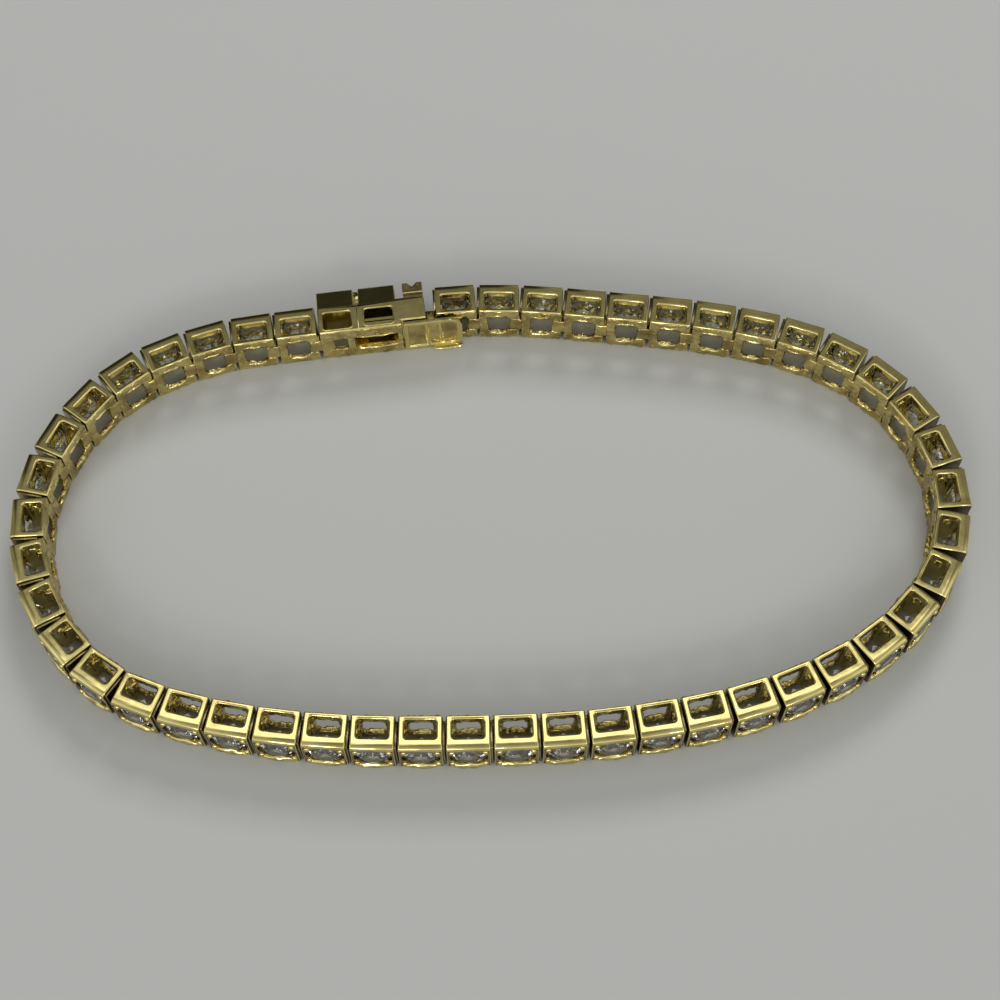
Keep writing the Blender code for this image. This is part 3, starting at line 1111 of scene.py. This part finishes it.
@dataclass(frozen=True)
class Link(Part):
    """One open box link, with its sloped rims, its lumpy back and its hinge."""

    setting: Setting
    hinge: Hinge
    length: float = 3.38 * MM
    depth: float = 2.80 * MM
    end_wall: float = 0.46 * MM
    back_wall: float = 0.37 * MM
    front_rim: float = 0.93 * MM
    facet_width: float = 0.52 * MM
    facet_drop: float = 0.16 * MM
    opening_length: float = 1.85 * MM
    opening_width: float = 2.60 * MM
    room: float = 0.14 * MM
    window_corner: float = 0.22 * MM
    pin_inset: float = 0.30 * MM
    edge: float = 0.025 * MM
    facing: float = 0.9
    shoulder: float = 0.17 * MM
    shoulder_grip: float = 0.10 * MM
    shoulder_back: float = 0.60 * MM
    shoulder_front: float = 0.22 * MM
    shoulder_foot: float = 0.15 * MM
    shoulder_head: float = 0.26 * MM
    shoulder_edge: float = 0.04 * MM
    sill_share: float = 0.7
    sill_gap: float = 0.06 * MM
    apron: Point = (0.12 * MM, 0.14 * MM, 0.38 * MM)
    apron_depth: float = 0.25 * MM
    apron_thick: float = 0.32 * MM
    burr: Point = (0.13 * MM, 0.40 * MM, 0.50 * MM)
    burr_drop: float = 1.15 * MM

    @property
    def end(self) -> float:
        """The far end, along X."""
        return self.bar.start + self.length

    @property
    def front(self) -> float:
        """The front face, along Y."""
        return self.bar.back + self.depth

    @property
    def middle(self) -> float:
        """The middle, along X."""
        return (self.bar.start + self.end) / 2

    @property
    def pitch(self) -> float:
        """The next hinge's axis, along X."""
        return self.end - self.pin_inset

    @property
    def window_x(self) -> Span:
        """The window's ends, along X."""
        return self.bar.start + self.end_wall, self.end - self.end_wall

    @property
    def window_y(self) -> Span:
        """The window's ends, along Y."""
        return self.bar.back + self.back_wall, self.front - self.front_rim

    def hollow(self, body: Solid) -> None:
        """Cut the window, room for the cast plate's opening and the next eye's notch.

        Args:
            body: The link's block.
        """
        bar, cast = self.bar, self.palette.cast
        window = self.pane("window", self.window_x, self.window_y, bar.through, self.window_corner)
        opening = Bench.block(
            "opening", around(self.middle, self.opening_length / 2 + self.room),
            (bar.back - bar.over, bar.back + 2 * self.back_wall),
            around(bar.middle, self.opening_width / 2 + self.room), cast)
        room = self.hinge.eye_radius + self.hinge.clearance
        notch = Bench.block(
            "notch", (self.pitch - room, self.end + bar.over), (bar.back - bar.over, room),
            around(bar.middle, self.hinge.half_notch), cast)
        Bench.work(body, Cut.TAKE, window, opening, notch)

    def is_hole(self, x: float, z: float) -> bool:
        """Whether a place of the back is open: the opening with its corners, or the notch.

        Args:
            x: The place along X.
            z: The place along Z.

        Returns:
            Whether it is open.
        """
        across = abs(x - self.middle) / (self.opening_length / 2)
        rise = abs(z - self.bar.middle) / (self.opening_width / 2)
        in_opening = across ** 4 + rise ** 4 < 1.0
        hinge = self.hinge
        in_notch = (x > self.pitch - hinge.eye_radius - hinge.clearance
                    and abs(z - self.bar.middle) < hinge.eye_width / 2)
        return in_opening or in_notch

    def build(self) -> Solid:
        """Build one link.

        Returns:
            The link's metal, in its own frame.
        """
        bar = self.bar
        rim = Rim(bar, self.palette, self.facet_width, self.facet_drop, strips=4)
        body = rim.blank("link_master", self.end, self.front)
        self.hollow(body)
        self.setting.sink(body, self.middle, self.front, self.length, self.window_y[1])
        rim.roll_edges(body)
        Bench.soften(body, self.edge, 1)
        # Painted shade: the end faces take the near-black gold, so that the gaps between links look
        # dark.
        Bench.dress(body, self.palette.recess, lambda face: abs(face.normal.x) > self.facing
                    and not bar.start + self.edge < face.calc_center_median().x
                    < self.end - self.edge)
        Bench.shade(body)
        self.setting.beads(body, self.middle, self.front)
        Bench.gather(
            body, self.shaded_shoulder(),
            CastPlate(bar, self.palette).build(bar.start, self.end, self.is_hole),
            *self.castings(), self.hinge.eye(), self.hinge.peg(self.pitch, 0.0))
        return body

    def shaded_shoulder(self) -> Solid:
        """Make the shoulder that nearly closes the gap to the piece before; its darker gold is
        painted shade in that gap.

        Returns:
            The shoulder.
        """
        bar = self.bar
        made = Bench.block(
            "shoulder", (bar.start - self.shoulder, bar.start + self.shoulder_grip),
            (bar.back + self.shoulder_back, self.front - self.shoulder_front),
            (self.shoulder_foot, bar.width - self.shoulder_head), self.palette.setting)
        Bench.soften(made, self.shoulder_edge, 2)
        return made

    def castings(self) -> list[Solid]:
        """Make what the casting left: sills, a ragged lower edge and lumps in the window.

        Returns:
            The lumps.
        """
        bar, middle = self.bar, self.middle
        half = self.opening_length / 2
        made = Sill(bar, self.palette, bar.back).pair(
            middle - half, middle + self.sill_share * half,
            self.opening_width + 2 * self.sill_gap)
        inset, back, rise = self.apron
        apron = Sill(bar, self.palette, self.front - back, self.apron_thick, self.apron_depth)
        made.append(apron.build(bar.start + inset, self.end - inset, self.facet_drop + rise))
        for wall in self.window_x:
            made.append(Bench.lump(
                "burr", (wall, sum(self.window_y) / 2, bar.width - self.burr_drop), self.burr,
                self.palette.polished))
        return made


@dataclass(frozen=True)
class Clasp(Part):
    """The box clasp: its housing and the sprung tongue in it."""

    setting: Setting
    hinge: Hinge
    offset: float = 0.67 * MM
    section: float = 3.15 * MM
    gap: float = 0.36 * MM
    gap_depth: float = 1.85 * MM
    depth: float = 4.25 * MM
    facet_width: float = 1.80 * MM
    facet_drop: float = 0.38 * MM
    bare_length: float = 2.35 * MM
    bare_depth: float = 2.70 * MM
    wall: float = 0.38 * MM
    floor: float = 0.50 * MM
    cavity: float = 1.58 * MM
    chamber_depth: float = 1.20 * MM
    window_length: float = 2.35 * MM
    window_corner: float = 0.24 * MM
    peep_length: float = 1.20 * MM
    peep_width: float = 1.80 * MM
    peep_start: float = 1.10 * MM
    bridge: float = 0.56 * MM
    slot_width: float = 1.70 * MM
    hole_corner: float = 0.16 * MM
    sill_gap: float = 0.08 * MM
    sill_thick: float = 0.10 * MM
    plate_length: float = 4.90 * MM
    plate_overhang: float = 2.95 * MM
    plate_thickness: float = 0.35 * MM
    plate_margin: float = 0.10 * MM
    plate_corner: float = 1.10 * MM
    leaf: float = 0.25 * MM
    leaf_length: float = 5.90 * MM
    leaf_spacing: float = 0.36 * MM
    root: float = 0.50 * MM
    tab_length: float = 1.70 * MM
    tab_width: float = 1.60 * MM
    tab_reach: float = 2.15 * MM
    tab_notch: float = 0.40 * MM
    slide: float = 0.12 * MM
    fuse: float = 0.10 * MM
    lug: float = 0.50 * MM
    lug_length: float = 0.70 * MM
    lug_edge: float = 0.08 * MM
    last_pin_gap: float = 0.35 * MM
    edge: float = 0.035 * MM
    sharp: float = 1.2
    seam: float = 0.09 * MM
    seam_round: float = 0.4
    web_foot: float = 0.55 * MM
    web_head: float = 0.42 * MM
    web_front: float = 0.30 * MM
    web_cuts: int = 9
    lip_gap: float = 0.04 * MM
    lip_width: float = 0.11 * MM
    lip_rise: float = 0.045 * MM
    lip_root: float = 0.08 * MM
    border: float = 0.34 * MM
    sunk: float = 0.15 * MM
    sunk_slope: float = 0.3
    ridge_radius: float = 0.19 * MM
    ridge_shares: Span = (0.40, 0.63)
    ridge_slant: float = math.radians(3.0)
    nail_lip: Point = (1.30 * MM, 0.32 * MM, 0.13 * MM)
    nail_drop: float = 0.08 * MM
    nail_rise: float = 0.04 * MM
    grip_first: float = 0.35 * MM
    grip_step: float = 0.42 * MM
    grip_radius: float = 0.11 * MM
    grip_sides: int = 10

    @property
    def section_end(self) -> float:
        """Where the stone-set sections end, along X."""
        return self.bar.start + 2 * self.section + self.gap

    @property
    def end(self) -> float:
        """The box's far end, along X."""
        return self.section_end + self.bare_length

    @property
    def past_end(self) -> float:
        """A place past the far end, for a tool that cuts out to it."""
        return self.end + self.bar.over

    @property
    def front(self) -> float:
        """The sections' front face, along Y."""
        return self.bar.back + self.depth

    @property
    def past_front(self) -> float:
        """A place before the front face, for a tool that cuts out to it."""
        return self.front + self.bar.over

    @property
    def cavity_back(self) -> float:
        """The back of the hollow inside, along Y."""
        return self.bar.back + self.wall

    @property
    def cavity_front(self) -> float:
        """The front of the hollow inside, along Y."""
        return self.cavity_back + self.cavity

    @property
    def plate_start(self) -> float:
        """The tongue plate's near end, along X."""
        return self.end - (self.plate_length - self.plate_overhang)

    @property
    def plate_end(self) -> float:
        """The tongue plate's far end, along X."""
        return self.plate_start + self.plate_length

    @property
    def plate_front(self) -> float:
        """The tongue plate's inner side, along Y."""
        return self.bar.back + self.plate_thickness

    @property
    def peep(self) -> Span:
        """The peep hole's ends, along X."""
        start = self.bar.start + self.peep_start
        return start, start + self.peep_length

    @property
    def slot(self) -> Span:
        """The slot's ends, along X."""
        return self.peep[1] + self.bridge, self.plate_start - self.slide - self.wall

    def section_middle(self, number: int) -> float:
        """The middle along X of section 0 or 1."""
        return self.bar.start + self.section / 2 + number * (self.section + self.gap)

    def window(self, number: int) -> Solid:
        """Make the tool of the window of section 0 or 1."""
        return self.pane(
            "window", around(self.section_middle(number), self.window_length / 2),
            (self.cavity_back, self.cavity_front), self.bar.through, self.window_corner)

    def is_hole(self, x: float, z: float) -> bool:
        """Whether a place of the back is open: the peep hole or the slot.

        Args:
            x: The place along X.
            z: The place along Z.

        Returns:
            Whether it is open.
        """
        return any(
            low < x < high and abs(z - self.bar.middle) < width / 2
            for (low, high), width in ((self.peep, self.peep_width), (self.slot, self.slot_width)))

    def box(self) -> Solid:
        """Build the housing.

        Returns:
            The housing's metal, in the clasp's own frame.
        """
        bar, polished = self.bar, self.palette.polished
        rim = Rim(bar, self.palette, self.facet_width, self.facet_drop, strips=1)
        body = rim.blank("clasp_box_master", self.end, self.front)
        bare = Bench.block(
            "before_bare", (self.section_end, self.past_end),
            (bar.back + self.bare_depth, self.past_front), bar.through, polished)
        gap_start = bar.start + self.section
        between = Bench.block(
            "between", (gap_start, gap_start + self.gap),
            (self.front - self.gap_depth, self.past_front), bar.through, polished)
        cavity = Bench.block(
            "cavity", (bar.start + self.wall, self.past_end),
            (self.cavity_back, self.cavity_front), (self.floor, bar.width - self.floor),
            self.palette.cast)
        Bench.work(body, Cut.TAKE, bare, between, self.window(0), self.window(1), cavity)
        self.cut_back(body)
        for number in (0, 1):
            self.setting.sink(body, self.section_middle(number), self.front, self.section,
                              self.front - self.chamber_depth)
        rim.roll_edges(body)
        Bench.soften(body, self.edge, 1)
        Bench.shade(body)
        for number in (0, 1):
            self.setting.beads(body, self.section_middle(number), self.front)
        sill = Sill(bar, self.palette, bar.back, self.sill_thick)
        Bench.gather(
            body, CastPlate(bar, self.palette, cells_x=36).build(
                bar.start, self.plate_start - self.slide, self.is_hole),
            *sill.pair(*self.slot, self.slot_width + 2 * self.sill_gap), self.web(),
            self.seam_rod(), self.window_lip(0), self.window_lip(1), self.hinge.eye())
        return body

    def cut_back(self, body: Solid) -> None:
        """Cut the openings of the back and the room of the tongue's plate and tab.

        Args:
            body: The housing.
        """
        bar, polished = self.bar, self.palette.polished
        outer = bar.back - bar.over
        holes = [
            Bench.block(name, x, (outer, bar.back + 2 * self.wall), bar.across(width),
                        self.palette.cast)
            for name, x, width in (("peep", self.peep, self.peep_width),
                                   ("slot", self.slot, self.slot_width))]
        for hole in holes:
            Bench.round_edges(hole, outward, self.hole_corner, 3)
        seat = Bench.block(
            "plate_seat", (self.plate_start - self.slide, self.past_end),
            (outer, self.plate_front + self.slide), bar.through, polished)
        tab_room = Bench.block(
            "tab_room", (self.end - self.tab_length - self.slide, self.past_end),
            (self.cavity_front - self.fuse, self.past_front),
            around(bar.middle, self.tab_width / 2 + self.slide), polished)
        Bench.work(body, Cut.TAKE, *holes, seat, tab_room)

    def seam_rod(self) -> Solid:
        """Make the fine seam that runs on from the gap between the sections to the back.

        Returns:
            The seam.
        """
        bar = self.bar
        middle = bar.start + self.section + self.gap / 2
        low, high = bar.back + self.fuse, self.front - self.gap_depth + self.fuse
        rod = Bench.rod(
            "seam", (middle, (low + high) / 2, bar.width - self.seam / 2), self.seam,
            high - low, Axis.Y, self.grip_sides, self.palette.polished)
        return Bench.round_edges(
            rod, lambda edge: bend(edge) > self.sharp, self.seam * self.seam_round, 2)

    def window_lip(self, number: int) -> Solid:
        """Make the fine raised lip round a section's window.

        Args:
            number: Which section, 0 or 1.

        Returns:
            The lip.
        """
        middle, top = self.section_middle(number), self.bar.width
        half, wide = self.window_length / 2 + self.lip_gap, self.lip_width
        low, high = self.cavity_back - self.lip_gap, self.cavity_front + self.lip_gap
        lip = self.pane(
            "lip", (middle - half - wide, middle + half + wide), (low - wide, high + wide),
            (top - self.lip_root, top + self.lip_rise), self.window_corner + wide)
        inner = self.pane("inner", around(middle, half), (low, high),
                          around(top, self.bar.over), self.window_corner)
        Bench.work(lip, Cut.TAKE, inner)
        Bench.round_edges(
            lip, lambda edge: bend(edge) > self.sharp
            and all(vert.co.z > top for vert in edge.verts), self.lip_gap, 2)
        Bench.shade(lip, math.radians(50.0))
        return lip

    def web(self) -> Solid:
        """Make the lumpy web that joins the two sections down in the gap.

        Returns:
            The web.
        """
        bar = self.bar
        start = bar.start + self.section
        web = Bench.block(
            "web", (start - self.fuse, start + self.gap + self.fuse),
            (self.front - self.gap_depth - self.fuse, self.front - self.web_front),
            (self.web_foot, bar.width - self.web_head), self.palette.polished)
        Bench.divide(web, self.web_cuts)
        Bench.mark(web)
        return web

    def tongue(self) -> Solid:
        """Build the tongue.

        Returns:
            The tongue's metal, in the clasp's own frame.
        """
        plate = self.plate()
        self.spring(plate)
        self.lugs(plate)
        Bench.shade(plate)
        for share in self.ridge_shares:
            Bench.gather(plate, self.ridge(self.plate_start + share * self.plate_length))
        Bench.gather(plate, self.lip(), *self.grips())
        return plate

    def plate(self) -> Solid:
        """Build the plate with its round end and its sunk field.

        Returns:
            The plate.
        """
        bar, end = self.bar, self.plate_end
        plate = Bench.block(
            "clasp_tongue_master", (self.plate_start, end), (bar.back, self.plate_front),
            (self.plate_margin, bar.width - self.plate_margin), self.palette.polished)
        Bench.round_edges(
            plate, lambda edge: outward(edge) and edge.verts[0].co.x > end - self.edge,
            self.plate_corner, 8)
        with Bench.editing(plate):
            Bench.pick(plate, "faces", lambda face: face.normal.y < -ALIGNED)
            bpy.ops.mesh.inset(thickness=self.border)
            bpy.ops.mesh.inset(thickness=self.sunk_slope * self.sunk)
            bpy.ops.transform.translate(value=(0.0, self.sunk, 0.0))
        Bench.dress(plate, self.palette.cast, lambda face: face.normal.y < -ALIGNED
                    and face.calc_center_median().y > bar.back + self.sunk / 2)
        Bench.soften(plate, self.edge, 2)
        return plate

    def spring(self, plate: Solid) -> None:
        """Join the folded leaves and the thumb tab to the plate.

        Args:
            plate: The tongue's plate.
        """
        end = self.end - self.slide
        tip = end - self.leaf_length
        first = self.cavity_back + self.leaf_spacing
        second = first + self.leaf_spacing
        fuse = self.fuse
        height = (self.floor + self.slide, self.bar.width - self.floor - self.slide)
        leaves = [
            Bench.block(name, x, y, height, self.palette.polished) for name, x, y in (
                ("root", (end - self.root, end), (self.plate_front - fuse, first + fuse)),
                ("leaf_1", (tip, end), (first, first + self.leaf)),
                ("leaf_2", (tip, end), (second, second + self.leaf)),
                ("fold", (tip, tip + self.leaf), (first + fuse, second + fuse)))]
        Bench.work(plate, Cut.JOIN, *leaves, self.tab(second))

    def lugs(self, plate: Solid) -> None:
        """Add the lugs with the last pin between them.

        Args:
            plate: The tongue's plate.
        """
        middle, half = self.bar.middle, self.hinge.half_notch
        pin_x = self.end + self.last_pin_gap
        for low in (middle - half - self.lug, middle + half):
            lug = Bench.block(
                "lug", around(pin_x, self.lug_length / 2),
                (self.plate_front - self.fuse, self.offset + self.lug_length / 2),
                (low, low + self.lug), self.palette.cast)
            Bench.soften(lug, self.lug_edge, 2)
            Bench.gather(plate, lug)
        Bench.gather(plate, self.hinge.peg(pin_x, self.offset))

    def ridge(self, x: float) -> Solid:
        """Make one slanted ridge across the sunk field of the plate.

        Args:
            x: Its middle along X.

        Returns:
            The ridge.
        """
        length = self.bar.width - 2 * (self.plate_margin + self.border)
        centre = (x, self.bar.back + self.sunk, self.bar.middle)
        rod = Bench.rod("ridge", centre, self.ridge_radius, length, Axis.Z, self.grip_sides,
                        self.palette.polished)
        with Bench.editing(rod):
            bpy.ops.mesh.select_all(action="SELECT")
            bpy.ops.transform.rotate(
                value=self.ridge_slant, orient_axis="Y", center_override=centre)
        return rod

    def lip(self) -> Solid:
        """Make the rolled lip under the plate's round end, where a nail lifts it.

        Returns:
            The lip.
        """
        centre = (self.plate_end - self.nail_lip[0], self.bar.back - self.nail_drop,
                  self.plate_margin + self.nail_rise)
        lip = Bench.ball("lip", centre, self.nail_lip, self.palette.polished)
        Bench.divide(lip, smoothness=1.0)
        return lip

    def grips(self) -> list[Solid]:
        """Make the ridges across the thumb tab that give the nail a hold.

        Returns:
            The ridges.
        """
        first = self.bar.back + self.bare_depth + self.grip_first
        return [
            Bench.rod(
                "grip", (self.end - self.tab_length / 2, first + number * self.grip_step, z),
                self.grip_radius, self.tab_length - 2 * self.edge, Axis.X, self.grip_sides,
                self.palette.polished)
            for number in range(3) for z in self.bar.across(self.tab_width)]

    def tab(self, root: float) -> Solid:
        """Build the thumb tab with its notched end.

        Args:
            root: Where it starts, along Y.

        Returns:
            The tab.
        """
        # Painted shade: the tab is made in the darker gold, so it looks shaded next to its bright
        # grips.
        bar, finish = self.bar, self.palette.setting
        front = bar.back + self.bare_depth + self.tab_reach
        tab = Bench.block(
            "tab", (self.end - self.tab_length, self.end), (root + self.fuse, front),
            bar.across(self.tab_width), finish)
        notch = Bench.rod(
            "notch", (self.end - self.tab_length / 2, front, bar.middle), self.tab_notch,
            self.tab_width + bar.over, Axis.Z, 4, finish)
        Bench.work(tab, Cut.TAKE, notch)
        Bench.soften(tab, self.edge, 2, math.radians(25.0))
        return tab


@dataclass(frozen=True)
class Lamp:
    """A soft square panel that faces the bracelet."""

    name: str
    place: Point
    side: float
    power: float
    mirrored: bool = True

    def hang(self) -> None:
        """Hang the panel in its place."""
        light = bpy.data.lights.new(self.name, "AREA")
        light.shape = "RECTANGLE"
        light.size = light.size_y = self.side
        light.energy = self.power
        made = bpy.data.objects.new(self.name, light)
        bpy.context.scene.collection.objects.link(made)
        made.location = self.place
        made.rotation_euler = Vector(self.place).to_track_quat("Z", "Y").to_euler()
        made.visible_glossy = self.mirrored


@dataclass(frozen=True)
class Studio:
    """The camera, the lights and the floor."""

    focal_px: float = 1893.0
    image_px: float = 1000.0
    sensor: float = 36.0
    tilt: float = math.radians(64.635)
    roll: float = math.radians(-1.33)
    eye: Point = (0.766 * MM, -64.658 * MM, 140.55 * MM)
    nearest: float = 0.01
    floor_size: float = 1.2
    behind: tuple[Span, ...] = (
        (0.0, 0.12), (0.45, 0.22), (0.72, 0.21), (0.8625, 0.18), (0.91, 0.36), (0.935, 1.85),
        (0.965, 1.85), (0.983, 0.42), (0.995, 0.24))
    shaded: tuple[Span, ...] = ((0.0, 0.02), (0.45, 0.02), (0.62, 0.03), (0.72, 0.06), *behind[3:])
    before: tuple[Span, ...] = (
        (0.0, 0.10), (0.2, 0.50), (0.5, 1.00), (0.7, 0.95), (0.85, 0.60), (0.95, 0.36),
        (0.995, 0.24))
    slant_start: Span = (0.03, 0.12)
    slant_end: Span = (-1.6, -1.2)
    horizon: Span = (-0.05, 0.25)
    lamps: tuple[Lamp, ...] = (
        Lamp("glint_left", (-0.12, -0.45, 0.30), 0.12, 0.40),
        Lamp("glint_right", (0.22, -0.42, 0.34), 0.08, 0.18),
        Lamp("soft_key", (0.10, 0.42, 0.40), 0.20, 1.3, mirrored=False))

    def camera(self) -> None:
        """Stand the camera where the photograph was taken from."""
        level = Vector((1.0, 0.0, 0.0))
        rise = Vector((0.0, math.sin(self.tilt), math.cos(self.tilt)))
        look = Vector((0.0, math.cos(self.tilt), -math.sin(self.tilt)))
        right = level * math.cos(self.roll) + rise * math.sin(self.roll)
        up = rise * math.cos(self.roll) - level * math.sin(self.roll)
        lens = bpy.data.cameras.new("camera")
        lens.sensor_width = self.sensor
        lens.lens = self.focal_px * self.sensor / self.image_px
        lens.clip_start = self.nearest
        made = bpy.data.objects.new("camera", lens)
        bpy.context.scene.collection.objects.link(made)
        turn = Matrix((right, up, -look)).transposed().to_4x4()
        made.matrix_world = Matrix.Translation(self.eye) @ turn
        bpy.context.scene.camera = made

    def light(self) -> None:
        """Light the set by a soft surround that is darkest low down behind the bracelet."""
        world = bpy.data.worlds.new("studio")
        bpy.context.scene.world = world
        graph = Graph(world)
        way = graph.node("ShaderNodeTexCoord", output="Generated")
        across, away, height = (
            graph.node("ShaderNodeSeparateXYZ", {}, {"Vector": way}, output=axis)
            for axis in ("X", "Y", "Z"))
        slant = across / away
        shade = graph.band(slant, *self.slant_start, 1.0, 0.0) * (
            graph.band(slant, *self.slant_end))
        behind = graph.mix(shade, graph.ramp(height, self.behind), graph.ramp(height, self.shaded))
        tone = graph.mix(graph.band(away, *self.horizon), graph.ramp(height, self.before), behind)
        graph.feed(graph.shader, {"Color": tone, "Strength": 1.0})
        for lamp in self.lamps:
            lamp.hang()
        scene = bpy.context.scene
        scene.view_settings.view_transform = "Standard"
        scene.view_settings.look = "None"

    def floor(self, palette: Palette) -> None:
        """Lay the pale floor.

        Args:
            palette: The materials.
        """
        bpy.ops.object.select_all(action="DESELECT")
        bpy.ops.mesh.primitive_plane_add(size=self.floor_size)
        made = Bench.settle("floor", palette.floor)


@dataclass
class Bracelet:
    """The whole loop: forty-seven links and the clasp."""

    palette: Palette
    bar: Bar = field(default_factory=Bar)
    count: int = 47
    seed: int = 11
    lump_size: float = 0.34 * MM
    lump_height: float = 0.24 * MM

    def __post_init__(self) -> None:
        """Set out the pieces from their shared sizes."""
        self.setting = Setting(self.bar, self.palette)
        self.hinge = Hinge(self.bar, self.palette)
        self.link = Link(self.bar, self.palette, self.setting, self.hinge)
        self.clasp = Clasp(self.bar, self.palette, self.setting, self.hinge)
        self.reader = LoopReader(self.bar)
        self.chance = random.Random(self.seed)

    def name(self, number: int) -> str:
        """The node of a link, counted from 0 and round the loop."""
        return f"link_{number % self.count + 1:02d}"

    def middle_of(self, node: str) -> Vector:
        """The middle of a node's box, seen from above."""
        low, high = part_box(node)
        return ((low + high) / 2).xy

    def deliver(self, master: Solid, name: str, matrix: Matrix, node: str) -> Solid:
        """Put a copy of a master where it belongs and hand it to the frame.

        Args:
            master: The modelled piece.
            name: The copy's name.
            matrix: The way from the master's frame into the loop.
            node: The node it stands for.

        Returns:
            The copy.
        """
        made = master.copy()
        made.data = master.data.copy()
        made.name = made.data.name = name
        bpy.context.scene.collection.objects.link(made)
        made.data.transform(matrix)
        if CAST_GROUP in made.vertex_groups:
            Bench.roughen(made, self.lump_size, self.lump_height)
            Bench.shade(made, math.radians(50.0))
        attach(made, BODY)
        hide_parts(node)
        LOG.info("%s: %d faces", name, len(made.data.polygons))
        return made

    def stone_matrix(self, placement: Placement, middle: float, front: float) -> Matrix:
        """The way of a stone from the cutter's bench into its seat, at a chance turn.

        Args:
            placement: Where the link or clasp is.
            middle: The seat's middle along X.
            front: The front face's place along Y.

        Returns:
            The matrix.
        """
        seat = Matrix.Translation((middle, front - self.setting.depth, self.bar.middle))
        tip = Matrix.Rotation(math.radians(-90.0), 4, "X")
        turn = Matrix.Rotation(self.chance.uniform(0.0, math.pi / 4), 4, "Z")
        return placement.matrix @ seat @ tip @ turn

    def build(self) -> None:
        """Build every piece and put it in its place."""
        stone = Brilliant().cut(self.palette.stone)
        link = self.link.build()
        for number in range(self.count):
            node = self.name(number)
            before = "clasp_box" if number == 0 else self.name(number - 1)
            after = "clasp_box" if number == self.count - 1 else self.name(number + 1)
            towards = self.middle_of(after) - self.middle_of(before)
            placement = self.reader.placement(node, towards, self.link.end)
            self.deliver(link, f"{node}_metal", placement.matrix, node)
            self.deliver(stone, f"{node}_stone",
                         self.stone_matrix(placement, self.link.middle, self.link.front),
                         node)
        towards = self.middle_of(self.name(0)) - self.middle_of(self.name(self.count - 1))
        placement = self.reader.placement("clasp_box", towards, self.clasp.end)
        box = self.clasp.box()
        tongue = self.clasp.tongue()
        self.deliver(box, "clasp_box_metal", placement.matrix, "clasp_box")
        self.deliver(tongue, "clasp_tongue_metal", placement.matrix, "clasp_tongue")
        for number in (0, 1):
            self.deliver(
                stone, f"clasp_stone_{number + 1}",
                self.stone_matrix(placement, self.clasp.section_middle(number), self.clasp.front),
                "clasp_box")
        for master in (stone, link, box, tongue):
            bpy.data.objects.remove(master)


def main() -> None:
    """Build the bracelet and its set."""
    logging.basicConfig(level=logging.INFO, format="%(message)s")
    palette = Palette.mixed()
    studio = Studio()
    studio.camera()
    studio.light()
    studio.floor(palette)
    Bracelet(palette).build()


if __name__ == "__main__":
    main()
